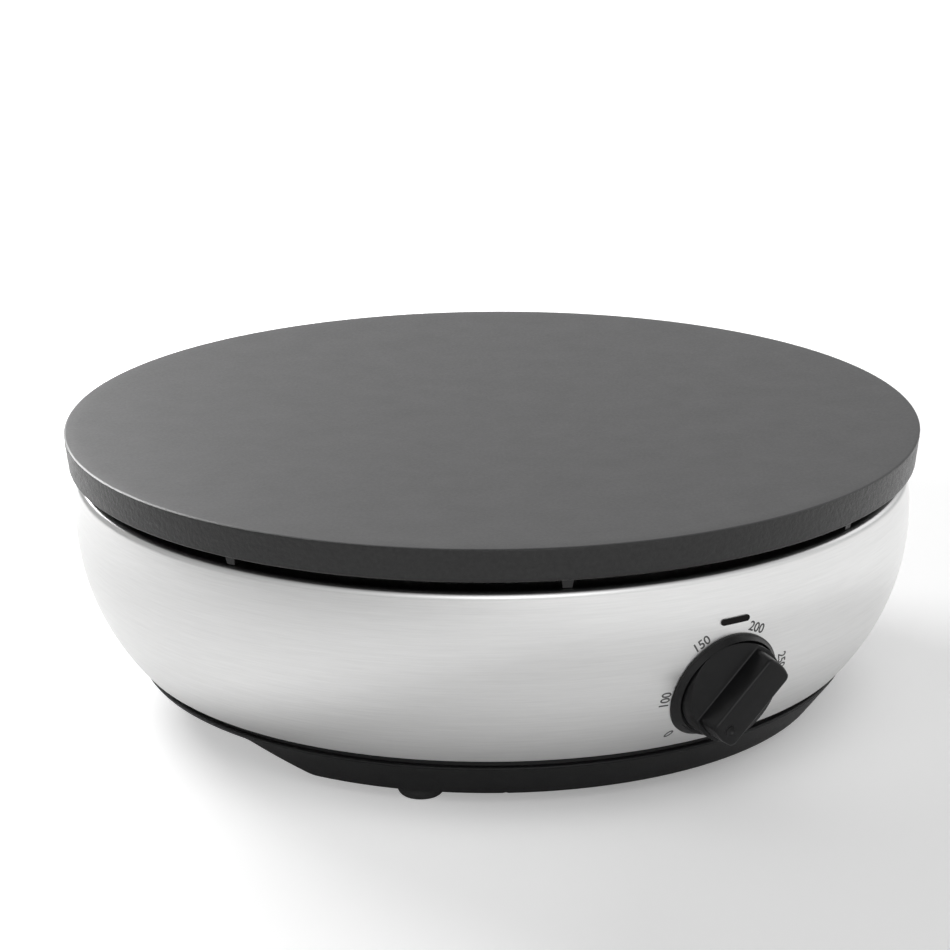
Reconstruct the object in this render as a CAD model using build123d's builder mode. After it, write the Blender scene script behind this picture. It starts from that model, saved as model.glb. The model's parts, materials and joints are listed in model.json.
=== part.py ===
# Electric crepe maker: one round cast plate on a bowl-shaped steel body with a black moulded base.
# Millimetres. +Z is up, the floor is Z = 0, and the control knob faces -Y.
# The origin is the middle of the footprint on the floor. The plate's own axis stands AXIS_Y behind it,
# because the knob reaches farther forward than the plate does.
import os
from math import asin, atan2, cos, degrees, pi, radians, sin, sqrt, tan

from build123d import *

os.makedirs("parts", exist_ok=True)

# ---------------------------------------------------------------- general clearances
FIT = 0.05            # clearance of a shaft or thread in its hole, on the radius
SEAT = 0.15           # clearance between moulded or pressed pieces that sit on each other
HOLE = 0.35           # clearance of a free hole round a screw, on the radius

# ---------------------------------------------------------------- heights, from the floor up
FOOT_SEAT = 8.0       # the feet carry the base at this height
SKIRT_LOW = 2.0       # the skirt hangs this far below the tops of the feet
SKIRT_TALL = 14.4
FLOOR_T = 2.0
NECK_TALL = 3.6       # dark gap between the base's lip and the bowl
SHELL_TALL = 75.0
UPPER_TALL = 17.0     # from the bowl's widest place up to its edge
LUG_TALL = 4.6        # the lugs hold the plate this far above the bowl
PLATE_RIM = 13.4      # height of the cast rim
PLATE_WEB = 8.0       # thickness of the cooking surface
TIE_BOSS_TALL = 13.0  # the reflector hangs this far below the cooking surface's underside
SKIRT_Z = FOOT_SEAT - SKIRT_LOW
LIP_Z = SKIRT_Z + SKIRT_TALL
FLOOR_Z = LIP_Z - FLOOR_T
SHELL_FOOT = LIP_Z + NECK_TALL
SHELL_TOP = SHELL_FOOT + SHELL_TALL
BELLY_Z = SHELL_TOP - UPPER_TALL
RIM_Z = SHELL_TOP + LUG_TALL
PLATE_TOP = RIM_Z + PLATE_RIM
WEB_Z = PLATE_TOP - PLATE_WEB
REFLECTOR_TOP = WEB_Z - TIE_BOSS_TALL

# ---------------------------------------------------------------- steel body
PLATE_R = 175.0       # the plate is 350 mm across
PLATE_OVERHANG = 3.5  # the plate reaches this far past the bowl
WALL = 1.0
UPPER_ARC = 103.0     # radius of the profile above the widest place
BOWL_TAPER = 23.0     # the bowl's lower bend stands this far inside its widest place
RIM_ROLL = 3.4        # bend at the upper edge
FOOT_ROLL = 1.6       # bend at the lower edge
RIM_FLANGE = 7.7
FOOT_FLANGE = 19.5
SHELL_SCREW_IN = 14.5
BELLY_R = PLATE_R - PLATE_OVERHANG
# The lower arc starts upright at the widest place and runs into the lower bend.
LOWER_REACH = BELLY_Z - SHELL_FOOT - FOOT_ROLL
LOWER_IN = BOWL_TAPER - FOOT_ROLL
LOWER_ARC = FOOT_ROLL + (LOWER_REACH**2 + LOWER_IN**2) / (2 * LOWER_IN)
# angles that the two bowl arcs sweep before the bends at the edges
UPPER_SWEEP = degrees(asin((SHELL_TOP - BELLY_Z - RIM_ROLL) / (UPPER_ARC - RIM_ROLL)))
LOWER_SWEEP = degrees(atan2(LOWER_REACH, LOWER_ARC - FOOT_ROLL - LOWER_IN))
# middles of the two bends
RIM_R = BELLY_R - UPPER_ARC + (UPPER_ARC - RIM_ROLL) * cos(radians(UPPER_SWEEP))
EDGE_R = BELLY_R - BOWL_TAPER
RIM_FLANGE_R = RIM_R - RIM_FLANGE
FOOT_FLANGE_R = EDGE_R - FOOT_FLANGE
SHELL_SCREW_RING = EDGE_R - SHELL_SCREW_IN

# ---------------------------------------------------------------- cooking plate
PLATE_DRAFT = 1.4     # how much smaller the rim is at its lower edge
PLATE_LIP = 10.6      # width of the rim's lower face
PLATE_EASE = 0.9
LUG_COUNT = 8
LUG_IN = 0.7          # the lugs stand this far inside the middle of the bowl's upper bend
LUG_WIDE = 4.8
LUG_DEEP = 5.0
RIB_COUNT = 16
RIB_WIDE = 4.0
RIB_DEEP = 4.0
RING_RIB = 72.0       # middle of the inner ring rib
POCKET_R = PLATE_R - PLATE_DRAFT - PLATE_LIP
LUG_R = RIM_R - LUG_IN

# ---------------------------------------------------------------- moulded base
LIP_IN = 1.3          # the lip stands this far inside the bowl's lower bend
NECK_IN = 5.1
SKIRT_IN = 11.1       # taper of the skirt, from the lip to its lower edge
SKIRT_WALL = 2.4
NECK_WALL = 2.5
GRIP_TOP = 42.7       # half length of a hand recess under the lip
GRIP_BOTTOM = 61.7    # half length of a hand recess at the skirt's lower edge
GRIP_ROUND = 7.0
GRIP_MOUTH = 10.0
GRIP_REACH = 40.0
FOOT_IN = 12.1
FOOT_BOSS_R = 11.5
TRAY_RIB_COUNT = 8
TRAY_RIB_TALL = 5.0
TRAY_RING = 39.0      # round rib under the middle of the floor
VENT_LONG = 36.0
VENT_WIDE = 4.0
SHELL_BOSS_R = 4.8
LIP_R = EDGE_R - LIP_IN
NECK_R = EDGE_R - NECK_IN
SKIRT_R = LIP_R - SKIRT_IN
SKIRT_SLOPE = SKIRT_IN / SKIRT_TALL
SKIRT_ACROSS = SKIRT_WALL * sqrt(1 + SKIRT_SLOPE**2)
FLOOR_EDGE = LIP_R - SKIRT_SLOPE * FLOOR_T - SKIRT_ACROSS
FOOT_RING = SKIRT_R - FOOT_IN
GRIP_FROM = SKIRT_R - GRIP_REACH
VENT_RING = TRAY_RING + VENT_LONG / 2

# ---------------------------------------------------------------- cord entry and terminal block
CORD_BORE = 3.4
BUSH_WALL = 1.2
BUSH_FLANGE = 1.4     # the bushing's flange is this much wider than its body
BUSH_FLANGE_T = 1.5
BUSH_LONG = 19.0
BUSH_STEP = 2.1       # the pad for the bushing stands this far out of the skirt
PAD_WIDE = 19.0
CORD_HOLE_R = 4.5
CORD_HOLE_IN = 12.0
BLOCK_IN = 20.0
BLOCK_PITCH = 12.0    # between the block's poles
BLOCK_LONG = 38.0
BLOCK_DEEP = 20.0
BLOCK_TALL = 14.0
BLOCK_SCREW_R = 1.5
CORD_Z = (SKIRT_Z + FLOOR_Z) / 2
BUSH_R = CORD_BORE + BUSH_WALL
BUSH_FLANGE_R = BUSH_R + BUSH_FLANGE
BUSH_FACE = SKIRT_R + SKIRT_SLOPE * (CORD_Z - SKIRT_Z) + BUSH_STEP
BUSH_INNER = BUSH_FACE - BUSH_LONG
CORD_HOLE_Y = BUSH_INNER - CORD_HOLE_IN
BLOCK_Y = CORD_HOLE_Y - BLOCK_IN

# ---------------------------------------------------------------- feet and fasteners
FOOT_R = 9.5
FOOT_FLAT_R = 6.3
FOOT_SHOULDER = 4.4
FOOT_SCREW_Z = 4.0    # underside of the screw's head above the floor, inside the foot's recess
SCREW_R = 2.0         # M4 screws
PAN_R = 3.6
PAN_T = 2.4
PAN_DRIVE = 1.3
NUT4_FLATS = 7.0
NUT4_T = 3.2
TIE_R = 2.5           # M5 studs
NUT5_FLATS = 8.0
NUT5_T = 4.0
WASHER_R = 5.5
WASHER_T = 1.0
THREAD_PAST = 1.2     # a screw stands this far out of its nut

# ---------------------------------------------------------------- heater, reflector and tie studs
ELEMENT_IN = 58.0     # heater ring, inside the plate's rim
ELEMENT_R = 3.3
ELEMENT_BEND = 11.0
ELEMENT_GAP = 14.0    # half angle of the gap at the back of the ring, degrees
LEG_DROP = 14.0       # the heater's legs end this far below the reflector
CLAMP_REACH = 12.0    # from the heater ring to each clamp screw
CLAMP_T = 1.2
CLAMP_BOSS_R = 4.6
CLAMP_BITE = 5.8      # depth of the clamp screws in the plate
TIE_IN = 13.0         # stud ring, inside the heater ring
TIE_BOSS_R = 7.0
REFLECTOR_T = 0.8
REFLECTOR_GAP = 7.0   # between the reflector's edge and the bowl's upper flange
REFLECTOR_WELL_R = 60.0
REFLECTOR_WELL = 7.2
REFLECTOR_LIP = 4.0
REFLECTOR_VENT_IN = 16.0
ELEMENT_RING = POCKET_R - ELEMENT_IN
ELEMENT_Z = WEB_Z - ELEMENT_R - FIT
CLAMP_TOP = ELEMENT_Z - ELEMENT_R
LEG_END = REFLECTOR_TOP - LEG_DROP
TIE_RING = ELEMENT_RING - TIE_IN
RIB_INNER = ELEMENT_RING + CLAMP_REACH + CLAMP_BOSS_R + RIB_WIDE
REFLECTOR_R = RIM_FLANGE_R - REFLECTOR_GAP
REFLECTOR_UNDER = REFLECTOR_TOP - REFLECTOR_WELL - REFLECTOR_T

# ---------------------------------------------------------------- temperature sensor under the plate
BULB_R = 3.0
BULB_HALF = 26.0
BULB_Y = -45.0
CLIP_T = 1.0
CLIP_FOOT = 9.5
TUBE_R = 1.0
TUBE_HOLE = 4.0
TUBE_X = 48.0         # where the sensor's tube passes down through the reflector
TUBE_Y = -62.0
EARTH_X = 24.0
EARTH_Y = 38.0
BULB_Z = WEB_Z - BULB_R - FIT
CLIP_TOP = BULB_Z - BULB_R - FIT

# ---------------------------------------------------------------- knob, its axis and the pilot light
KNOB_RISE = 30.8      # the knob's axis leaves the bowl this far above the base's lip
KNOB_STAND = 1.1      # the knob's frame starts this far in front of the bowl
KNOB_TILT = 6.0       # the axis points this much below the horizontal, degrees
KNOB_OFF = 45.0       # blade direction at the off position, degrees
KNOB_R = 20.3
KNOB_FOOT = -1.6      # the knob is let into its cup
KNOB_CROWN = 5.8
KNOB_CROWN_R = 19.2
KNOB_TOP = 16.4
KNOB_SKIN = 3.3       # thickness of the knob's face
BLADE_WIDE = 14.8
BLADE_R = 18.8
BLADE_DRAFT = 3.0
BLADE_SINK = 2.7      # the blade starts this far inside the knob's face
DISH_R = 17.9
DISH_DEEP = 1.9
BEZEL_TILT = 14.5     # the bezel's rim leans with the bowl, degrees
BEZEL_R = 23.4
BEZEL_BORE = 20.75
BEZEL_FRONT = 2.0     # height of the rim's inner edge above its outer edge
CUP_R = 22.0          # the cup behind the rim passes through the bowl
CUP_FLOOR = -2.8
CUP_FLOOR_T = 1.8
SPINDLE_R = 3.0
SPINDLE_FLAT = 2.2
SPINDLE_FRONT = 11.4
SPINDLE_BACK = -32.0
THERMO_FACE = -27.5
THERMO_SIDE = 34.0
THERMO_DEEP = 22.0
BRACKET_T = 1.5
BRACKET_WIDE = 40.0
BRACKET_ABOVE = 19.0  # the bracket rises this far above the knob's axis
BRACKET_FOOT = 23.0
BRACKET_SCREW_X = 13.0
BRACKET_SCREW_IN = 12.4
PILOT_RISE = 27.8     # the pilot light stands this far above the knob's axis
PILOT_LONG = 13.0
PILOT_TALL = 2.5
KNOB_Z = LIP_Z + KNOB_RISE
PILOT_Z = KNOB_Z + PILOT_RISE

# The knob's frame starts at this radius.
KNOB_SEAT_R = BELLY_R - LOWER_ARC + sqrt(LOWER_ARC**2 - (BELLY_Z - KNOB_Z) ** 2) + KNOB_STAND
TILT = radians(KNOB_TILT)
BLADE_TIP = BLADE_R - (KNOB_TOP - KNOB_CROWN + BLADE_SINK) * tan(radians(BLADE_DRAFT))
KNOB_REACH = KNOB_SEAT_R + KNOB_TOP * cos(TILT) + BLADE_TIP * sin(radians(KNOB_OFF)) * sin(TILT)
AXIS_Y = (KNOB_REACH - PLATE_R) / 2
# The bracket's face meets the base's floor here, and turns in to its foot.
BRACKET_RISE = KNOB_Z - THERMO_FACE * sin(TILT) - LIP_Z
BRACKET_HEEL = -KNOB_SEAT_R - THERMO_FACE * cos(TILT) + BRACKET_RISE * tan(TILT)
BRACKET_SCREW_Y = BRACKET_HEEL + BRACKET_SCREW_IN

SPIN = Axis((0, AXIS_Y, 0), (0, 0, 1))
SECTION = Plane(origin=(0, AXIS_Y, 0), x_dir=(1, 0, 0), z_dir=(0, -1, 0))
KNOB_PLANE = Plane(
    origin=(0, AXIS_Y - KNOB_SEAT_R, KNOB_Z),
    x_dir=(1, 0, 0),
    z_dir=(0, -cos(TILT), -sin(TILT)),
)
BEZEL_PLANE = Plane(
    origin=(0, AXIS_Y - KNOB_SEAT_R, KNOB_Z),
    x_dir=(1, 0, 0),
    z_dir=(0, -cos(radians(BEZEL_TILT)), -sin(radians(BEZEL_TILT))),
)
FRONT_PLANE = Plane(origin=(0, AXIS_Y, PILOT_Z), x_dir=(1, 0, 0), z_dir=(0, -1, 0))


def level(z):
    """A plane at height z, centred on the plate's axis, facing up."""
    return Plane(origin=(0, AXIS_Y, z), x_dir=(1, 0, 0), z_dir=(0, 0, 1))


def under(z):
    """A plane at height z, centred on the plate's axis, facing down."""
    return Plane(origin=(0, AXIS_Y, z), x_dir=(1, 0, 0), z_dir=(0, 0, -1))


def dial(h):
    """A plane square to the knob's axis, h in front of the bowl."""
    return KNOB_PLANE.offset(h)


def bowl_radius(z, inside=0.0):
    """Radius of the bowl's face at height z, or of a face that far inside it."""
    arc = UPPER_ARC if z > BELLY_Z else LOWER_ARC
    return BELLY_R - arc + sqrt((arc - inside) ** 2 - (z - BELLY_Z) ** 2)


def clamp_places(ring):
    """Five places round the heater ring, none of them near its ends at the back."""
    return PolarLocations(ring, 5, start_angle=-210, angular_range=240, endpoint=True)


def shell_screw_places():
    """Two places at the front and two at the back where the bowl is screwed to the base."""
    across = SHELL_SCREW_RING * cos(radians(60))
    along = SHELL_SCREW_RING * sin(radians(60))
    return Locations((across, along), (-across, along), (across, -along), (-across, -along))


def save(part, node):
    """Label a part and write its file."""
    part.label = node
    export_step(part, f"parts/{node}.step")


# ================================================================ cooking plate
with BuildPart() as cooking_plate:
    with BuildSketch(SECTION):
        with BuildLine():
            Polyline(
                (0, PLATE_TOP),
                (PLATE_R, PLATE_TOP),
                (PLATE_R - PLATE_DRAFT, RIM_Z),
                (POCKET_R, RIM_Z),
                (POCKET_R - 1.6, WEB_Z),
                (0, WEB_Z),
                close=True,
            )
        make_face()
    revolve(axis=SPIN)
    top_edge = cooking_plate.edges().filter_by(GeomType.CIRCLE).group_by(Axis.Z)[-1]
    fillet(top_edge, PLATE_EASE)
    lowest_circles = cooking_plate.edges().filter_by(GeomType.CIRCLE).group_by(Axis.Z)[0]
    low_edge = lowest_circles.sort_by(SortBy.RADIUS)[-1]
    fillet(low_edge, PLATE_EASE)
    # short cast lugs hang from the rim and stand on the bowl's upper edge
    with BuildSketch(under(RIM_Z - 0.5)):
        with PolarLocations(LUG_R, LUG_COUNT, start_angle=22.5):
            Rectangle(LUG_DEEP, LUG_WIDE)
    extrude(amount=RIM_Z - 0.5 - SHELL_TOP - SEAT, taper=9)
    with BuildSketch(level(RIM_Z - 0.5)):
        with PolarLocations(LUG_R, LUG_COUNT, start_angle=22.5):
            Rectangle(LUG_DEEP, LUG_WIDE)
    extrude(amount=2.0)
    # radial ribs and two ring ribs under the cooking surface
    with BuildSketch(level(WEB_Z - RIB_DEEP)):
        with PolarLocations((RIB_INNER + POCKET_R) / 2, RIB_COUNT, start_angle=11.25):
            Rectangle(POCKET_R - RIB_INNER, RIB_WIDE)
        Circle(RIB_INNER + RIB_WIDE)
        Circle(RIB_INNER, mode=Mode.SUBTRACT)
    extrude(amount=RIB_DEEP + 1.0)
    with BuildSketch(level(WEB_Z - RIB_DEEP)):
        Circle(RING_RIB + RIB_WIDE / 2)
        Circle(RING_RIB - RIB_WIDE / 2, mode=Mode.SUBTRACT)
    extrude(amount=RIB_DEEP + 1.0)
    # bosses for the tie studs
    with BuildSketch(level(REFLECTOR_TOP)):
        with PolarLocations(TIE_RING, 4, start_angle=45):
            Circle(TIE_BOSS_R)
    extrude(amount=WEB_Z - REFLECTOR_TOP + 1.0)
    # bosses each side of the heater ring for its clamps, and for the bulb clip
    with BuildSketch(level(CLAMP_TOP)):
        with clamp_places(ELEMENT_RING - CLAMP_REACH):
            Circle(CLAMP_BOSS_R)
        with clamp_places(ELEMENT_RING + CLAMP_REACH):
            Circle(CLAMP_BOSS_R)
    extrude(amount=WEB_Z - ELEMENT_Z + ELEMENT_R + 1.0)
    with BuildSketch(level(CLIP_TOP)):
        with Locations((0, BULB_Y - CLIP_FOOT), (0, BULB_Y + CLIP_FOOT)):
            Circle(CLAMP_BOSS_R)
    extrude(amount=WEB_Z - CLIP_TOP + 1.0)
    # threaded holes, from below
    with BuildSketch(level(REFLECTOR_TOP)):
        with PolarLocations(TIE_RING, 4, start_angle=45):
            Circle(TIE_R + FIT)
    extrude(amount=TIE_BOSS_TALL, mode=Mode.SUBTRACT)
    with BuildSketch(level(CLAMP_TOP - 1.0)):
        with clamp_places(ELEMENT_RING - CLAMP_REACH):
            Circle(SCREW_R + FIT)
        with clamp_places(ELEMENT_RING + CLAMP_REACH):
            Circle(SCREW_R + FIT)
        with Locations((0, BULB_Y - CLIP_FOOT), (0, BULB_Y + CLIP_FOOT)):
            Circle(SCREW_R + FIT)
    extrude(amount=8.0, mode=Mode.SUBTRACT)
save(cooking_plate.part, "cooking_plate")

# ================================================================ steel body
with BuildPart() as outer_shell:
    with BuildSketch(SECTION):
        with BuildLine():
            up_out = JernArc((BELLY_R, BELLY_Z), (0, 1), UPPER_ARC, UPPER_SWEEP)
            rim_out = JernArc(up_out @ 1, up_out % 1, RIM_ROLL, 90 - UPPER_SWEEP)
            Line(rim_out @ 1, (RIM_FLANGE_R, SHELL_TOP))
            Line((RIM_FLANGE_R, SHELL_TOP), (RIM_FLANGE_R, SHELL_TOP - WALL))
            up_in = JernArc((BELLY_R - WALL, BELLY_Z), (0, 1), UPPER_ARC - WALL, UPPER_SWEEP)
            rim_in = JernArc(up_in @ 1, up_in % 1, RIM_ROLL - WALL, 90 - UPPER_SWEEP)
            Line(rim_in @ 1, (RIM_FLANGE_R, SHELL_TOP - WALL))
            low_out = JernArc((BELLY_R, BELLY_Z), (0, -1), LOWER_ARC, -LOWER_SWEEP)
            foot_out = JernArc(low_out @ 1, low_out % 1, FOOT_ROLL, LOWER_SWEEP - 90)
            Line(foot_out @ 1, (FOOT_FLANGE_R, SHELL_FOOT))
            Line((FOOT_FLANGE_R, SHELL_FOOT), (FOOT_FLANGE_R, SHELL_FOOT + WALL))
            low_in = JernArc((BELLY_R - WALL, BELLY_Z), (0, -1), LOWER_ARC - WALL, -LOWER_SWEEP)
            foot_in = JernArc(low_in @ 1, low_in % 1, FOOT_ROLL - WALL, LOWER_SWEEP - 90)
            Line(foot_in @ 1, (FOOT_FLANGE_R, SHELL_FOOT + WALL))
        make_face()
    revolve(axis=SPIN)
    # holes for the bezel's cup and the pilot lens
    with BuildSketch(dial(-CUP_R)):
        Circle(CUP_R + SEAT)
    extrude(amount=CUP_R + 10, mode=Mode.SUBTRACT)
    with BuildSketch(FRONT_PLANE.offset(BELLY_R - 10)):
        SlotOverall(PILOT_LONG + 2 * SEAT, PILOT_TALL + 2 * SEAT)
    extrude(amount=20, mode=Mode.SUBTRACT)
    # holes for the screws that hold it to the base
    with BuildSketch(level(SHELL_FOOT)):
        with shell_screw_places():
            Circle(SCREW_R + HOLE)
    extrude(amount=2 * WALL, mode=Mode.SUBTRACT)
    # notch in the lower flange where the thermostat bracket passes
    with BuildSketch(level(SHELL_FOOT)):
        with Locations((0, -NECK_R + NECK_WALL)):
            Rectangle(BRACKET_WIDE + 3.0, FOOT_FLANGE, align=(Align.CENTER, Align.MIN))
    extrude(amount=2 * WALL, mode=Mode.SUBTRACT)
save(outer_shell.part, "outer_shell")


def bowl_space(grow):
    """The space inside the bowl's outer face, grown outwards by grow."""
    with BuildPart() as space:
        with BuildSketch(SECTION):
            with BuildLine():
                low = JernArc((BELLY_R + grow, BELLY_Z), (0, -1), LOWER_ARC + grow, -LOWER_SWEEP)
                high = JernArc((BELLY_R + grow, BELLY_Z), (0, 1), UPPER_ARC + grow, UPPER_SWEEP)
                Line(low @ 1, (0, (low @ 1).Y))
                Line((0, (low @ 1).Y), (0, (high @ 1).Y))
                Line((0, (high @ 1).Y), high @ 1)
            make_face()
        revolve(axis=SPIN)
    return space.part


# ================================================================ moulded base
with BuildPart() as base_tray:
    with BuildSketch(SECTION):
        with BuildLine():
            Polyline(
                (0, FLOOR_Z),
                (FLOOR_EDGE, FLOOR_Z),
                (SKIRT_R - SKIRT_ACROSS, SKIRT_Z),
                (SKIRT_R, SKIRT_Z),
                (LIP_R, LIP_Z),
                (NECK_R + 0.8, LIP_Z + 0.2),
                (NECK_R, SHELL_FOOT),
                (NECK_R - NECK_WALL, SHELL_FOOT),
                (NECK_R - NECK_WALL, LIP_Z),
                (0, LIP_Z),
                close=True,
            )
        make_face()
    revolve(axis=SPIN)
    lip_edge = base_tray.edges().filter_by(GeomType.CIRCLE).sort_by(SortBy.RADIUS)[-1]
    fillet(lip_edge, 0.7)
    # stiffening ribs under the floor
    with BuildSketch(level(FLOOR_Z - TRAY_RIB_TALL)):
        with PolarLocations((FOOT_RING + TRAY_RING) / 2, TRAY_RIB_COUNT, start_angle=22.5):
            Rectangle(FOOT_RING - TRAY_RING, 2.0)
        Circle(TRAY_RING + 1.0)
        Circle(TRAY_RING - 1.0, mode=Mode.SUBTRACT)
    extrude(amount=TRAY_RIB_TALL + 0.5)
    # posts for the feet, braced to the skirt
    with BuildSketch(level(FOOT_SEAT)):
        with PolarLocations(FOOT_RING, 4, start_angle=45):
            Circle(FOOT_BOSS_R)
    extrude(amount=FLOOR_Z - FOOT_SEAT + 0.5)
    # bosses under the thermostat bracket's screws
    with BuildSketch(level(FLOOR_Z - TRAY_RIB_TALL - 1.0)):
        with Locations((-BRACKET_SCREW_X, BRACKET_SCREW_Y), (BRACKET_SCREW_X, BRACKET_SCREW_Y)):
            Circle(SCREW_R + 2.2)
    extrude(amount=TRAY_RIB_TALL + 1.5)
    # bosses that carry the bowl's lower flange
    with BuildSketch(level(LIP_Z - 0.5)):
        with shell_screw_places():
            Circle(SHELL_BOSS_R)
    extrude(amount=SHELL_FOOT - LIP_Z + 0.5)
    # bosses for the terminal block's screws
    with BuildSketch(level(FLOOR_Z - 5)):
        with Locations((-BLOCK_PITCH / 2, BLOCK_Y), (BLOCK_PITCH / 2, BLOCK_Y)):
            Circle(BLOCK_SCREW_R + 2.0)
    extrude(amount=5.5)
    # pad for the cord bushing at the back
    with BuildSketch(Plane(origin=(0, AXIS_Y + BUSH_INNER, 0), x_dir=(-1, 0, 0), z_dir=(0, 1, 0))):
        with Locations((0, (SKIRT_Z + FLOOR_Z + 0.5) / 2)):
            Rectangle(PAD_WIDE, FLOOR_Z + 0.5 - SKIRT_Z)
    extrude(amount=BUSH_FACE - BUSH_INNER)
    # hand recesses: the skirt is left out under the lip at both sides, with its corners rounded
    for side in (-1, 1):
        grip_plane = Plane(origin=(side * GRIP_FROM, AXIS_Y, 0), x_dir=(0, side, 0), z_dir=(side, 0, 0))
        with BuildSketch(grip_plane) as grip:
            with BuildLine():
                Polyline(
                    (-GRIP_BOTTOM - GRIP_MOUTH, SKIRT_Z - GRIP_MOUTH),
                    (-GRIP_BOTTOM - GRIP_MOUTH, SKIRT_Z),
                    (-GRIP_BOTTOM, SKIRT_Z),
                    (-GRIP_TOP, FLOOR_Z),
                    (GRIP_TOP, FLOOR_Z),
                    (GRIP_BOTTOM, SKIRT_Z),
                    (GRIP_BOTTOM + GRIP_MOUTH, SKIRT_Z),
                    (GRIP_BOTTOM + GRIP_MOUTH, SKIRT_Z - GRIP_MOUTH),
                    close=True,
                )
            make_face()
            corners = grip.vertices().filter_by(lambda corner: abs(corner.X) < GRIP_BOTTOM + 1)
            fillet(corners, GRIP_ROUND)
        extrude(amount=LIP_R - GRIP_FROM + 5.0, mode=Mode.SUBTRACT)
    # room for the feet beside the skirt
    with BuildSketch(level(0)):
        with PolarLocations(FOOT_RING, 4, start_angle=45):
            Circle(FOOT_R + 2 * SEAT)
    extrude(amount=FOOT_SEAT, mode=Mode.SUBTRACT)
    # holes: feet, tie studs, bowl screws, bracket screws, cord
    with BuildSketch(level(FOOT_SEAT)):
        with PolarLocations(FOOT_RING, 4, start_angle=45):
            Circle(SCREW_R + FIT)
    extrude(amount=FLOOR_Z - FOOT_SEAT - 1.0, mode=Mode.SUBTRACT)
    with BuildSketch(level(0)):
        with PolarLocations(TIE_RING, 4, start_angle=45):
            Circle(TIE_R + HOLE)
        with shell_screw_places():
            Circle(SCREW_R + HOLE)
        with Locations((-BRACKET_SCREW_X, BRACKET_SCREW_Y), (BRACKET_SCREW_X, BRACKET_SCREW_Y)):
            Circle(SCREW_R + FIT)
        with Locations((0, CORD_HOLE_Y)):
            Circle(CORD_HOLE_R)
        with Locations((-BLOCK_PITCH / 2, BLOCK_Y), (BLOCK_PITCH / 2, BLOCK_Y)):
            Circle(BLOCK_SCREW_R + FIT)
        # cooling slots
        with PolarLocations(VENT_RING, TRAY_RIB_COUNT):
            SlotOverall(VENT_LONG, VENT_WIDE)
            with Locations((VENT_WIDE, 9.0), (VENT_WIDE, -9.0)):
                SlotOverall(VENT_LONG - 2 * VENT_WIDE, VENT_WIDE)
    extrude(amount=SHELL_FOOT + 1.0, mode=Mode.SUBTRACT)
    with BuildSketch(Plane(origin=(0, AXIS_Y + BUSH_INNER, CORD_Z), x_dir=(-1, 0, 0), z_dir=(0, 1, 0))):
        Circle(BUSH_R + SEAT)
    extrude(amount=BUSH_LONG + BUSH_FLANGE_T, mode=Mode.SUBTRACT)
    with BuildSketch(Plane(origin=(0, AXIS_Y + BUSH_FACE, CORD_Z), x_dir=(-1, 0, 0), z_dir=(0, 1, 0))):
        Circle(BUSH_FLANGE_R + SEAT)
    extrude(amount=10.0, mode=Mode.SUBTRACT)
save(base_tray.part, "base_tray")

# ================================================================ feet and the screws of the base
def pan_screw(length):
    """A pan-head M4 screw along +Z, its head below Z = 0 and its shank above."""
    with BuildPart() as screw:
        with BuildSketch(Plane.XY.offset(-PAN_T)):
            Circle(PAN_R)
        extrude(amount=PAN_T)
        head_edge = screw.edges().group_by(Axis.Z)[0]
        fillet(head_edge, 0.9)
        with BuildSketch(Plane.XY):
            Circle(SCREW_R)
        extrude(amount=length)
        with BuildSketch(Plane.XY.offset(-PAN_T)):
            Rectangle(4.0, 0.9)
            Rectangle(0.9, 4.0)
        extrude(amount=PAN_DRIVE, mode=Mode.SUBTRACT)
    return screw.part


def hex_nut(flats, hole, thick):
    """A hexagon nut standing on Z = 0."""
    with BuildPart() as nut:
        with BuildSketch():
            RegularPolygon(flats / 2, 6, major_radius=False)
            Circle(flats / 2 * 1.12, mode=Mode.INTERSECT)
            Circle(hole, mode=Mode.SUBTRACT)
        extrude(amount=thick)
    return nut.part


with BuildPart() as one_foot:
    with BuildSketch(Plane.XZ):
        with BuildLine():
            Line((SCREW_R + HOLE, 0), (FOOT_FLAT_R, 0))
            foot_arc = EllipticalCenterArc(
                (FOOT_FLAT_R, FOOT_SHOULDER),
                FOOT_R - FOOT_FLAT_R,
                FOOT_SHOULDER,
                start_angle=270,
                arc_size=90,
            )
            Polyline(
                foot_arc @ 1,
                (FOOT_R, FOOT_SEAT - 0.6),
                (FOOT_R - 0.6, FOOT_SEAT),
                (SCREW_R + HOLE, FOOT_SEAT),
                (SCREW_R + HOLE, 0),
            )
        make_face()
    revolve(axis=Axis.Z)
    # recess that keeps the screw head off the floor
    with BuildSketch(Plane.XY):
        Circle(PAN_R + 0.9)
    extrude(amount=FOOT_SCREW_Z, mode=Mode.SUBTRACT)

with BuildPart(level(0)) as rubber_feet:
    with PolarLocations(FOOT_RING, 4, start_angle=45):
        add(one_foot.part)
save(rubber_feet.part, "rubber_feet")

with BuildPart(level(FOOT_SCREW_Z)) as foot_screws:
    with PolarLocations(FOOT_RING, 4, start_angle=45):
        add(pan_screw(FLOOR_Z - FOOT_SCREW_Z - PAN_T))
save(foot_screws.part, "foot_screws")

with BuildPart(level(FLOOR_Z)) as shell_screws:
    with shell_screw_places():
        add(pan_screw(SHELL_FOOT + WALL + NUT4_T + THREAD_PAST - FLOOR_Z))
save(shell_screws.part, "shell_screws")

with BuildPart(level(SHELL_FOOT + WALL)) as shell_nuts:
    with shell_screw_places():
        add(hex_nut(NUT4_FLATS, SCREW_R + FIT, NUT4_T))
save(shell_nuts.part, "shell_nuts")

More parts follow.
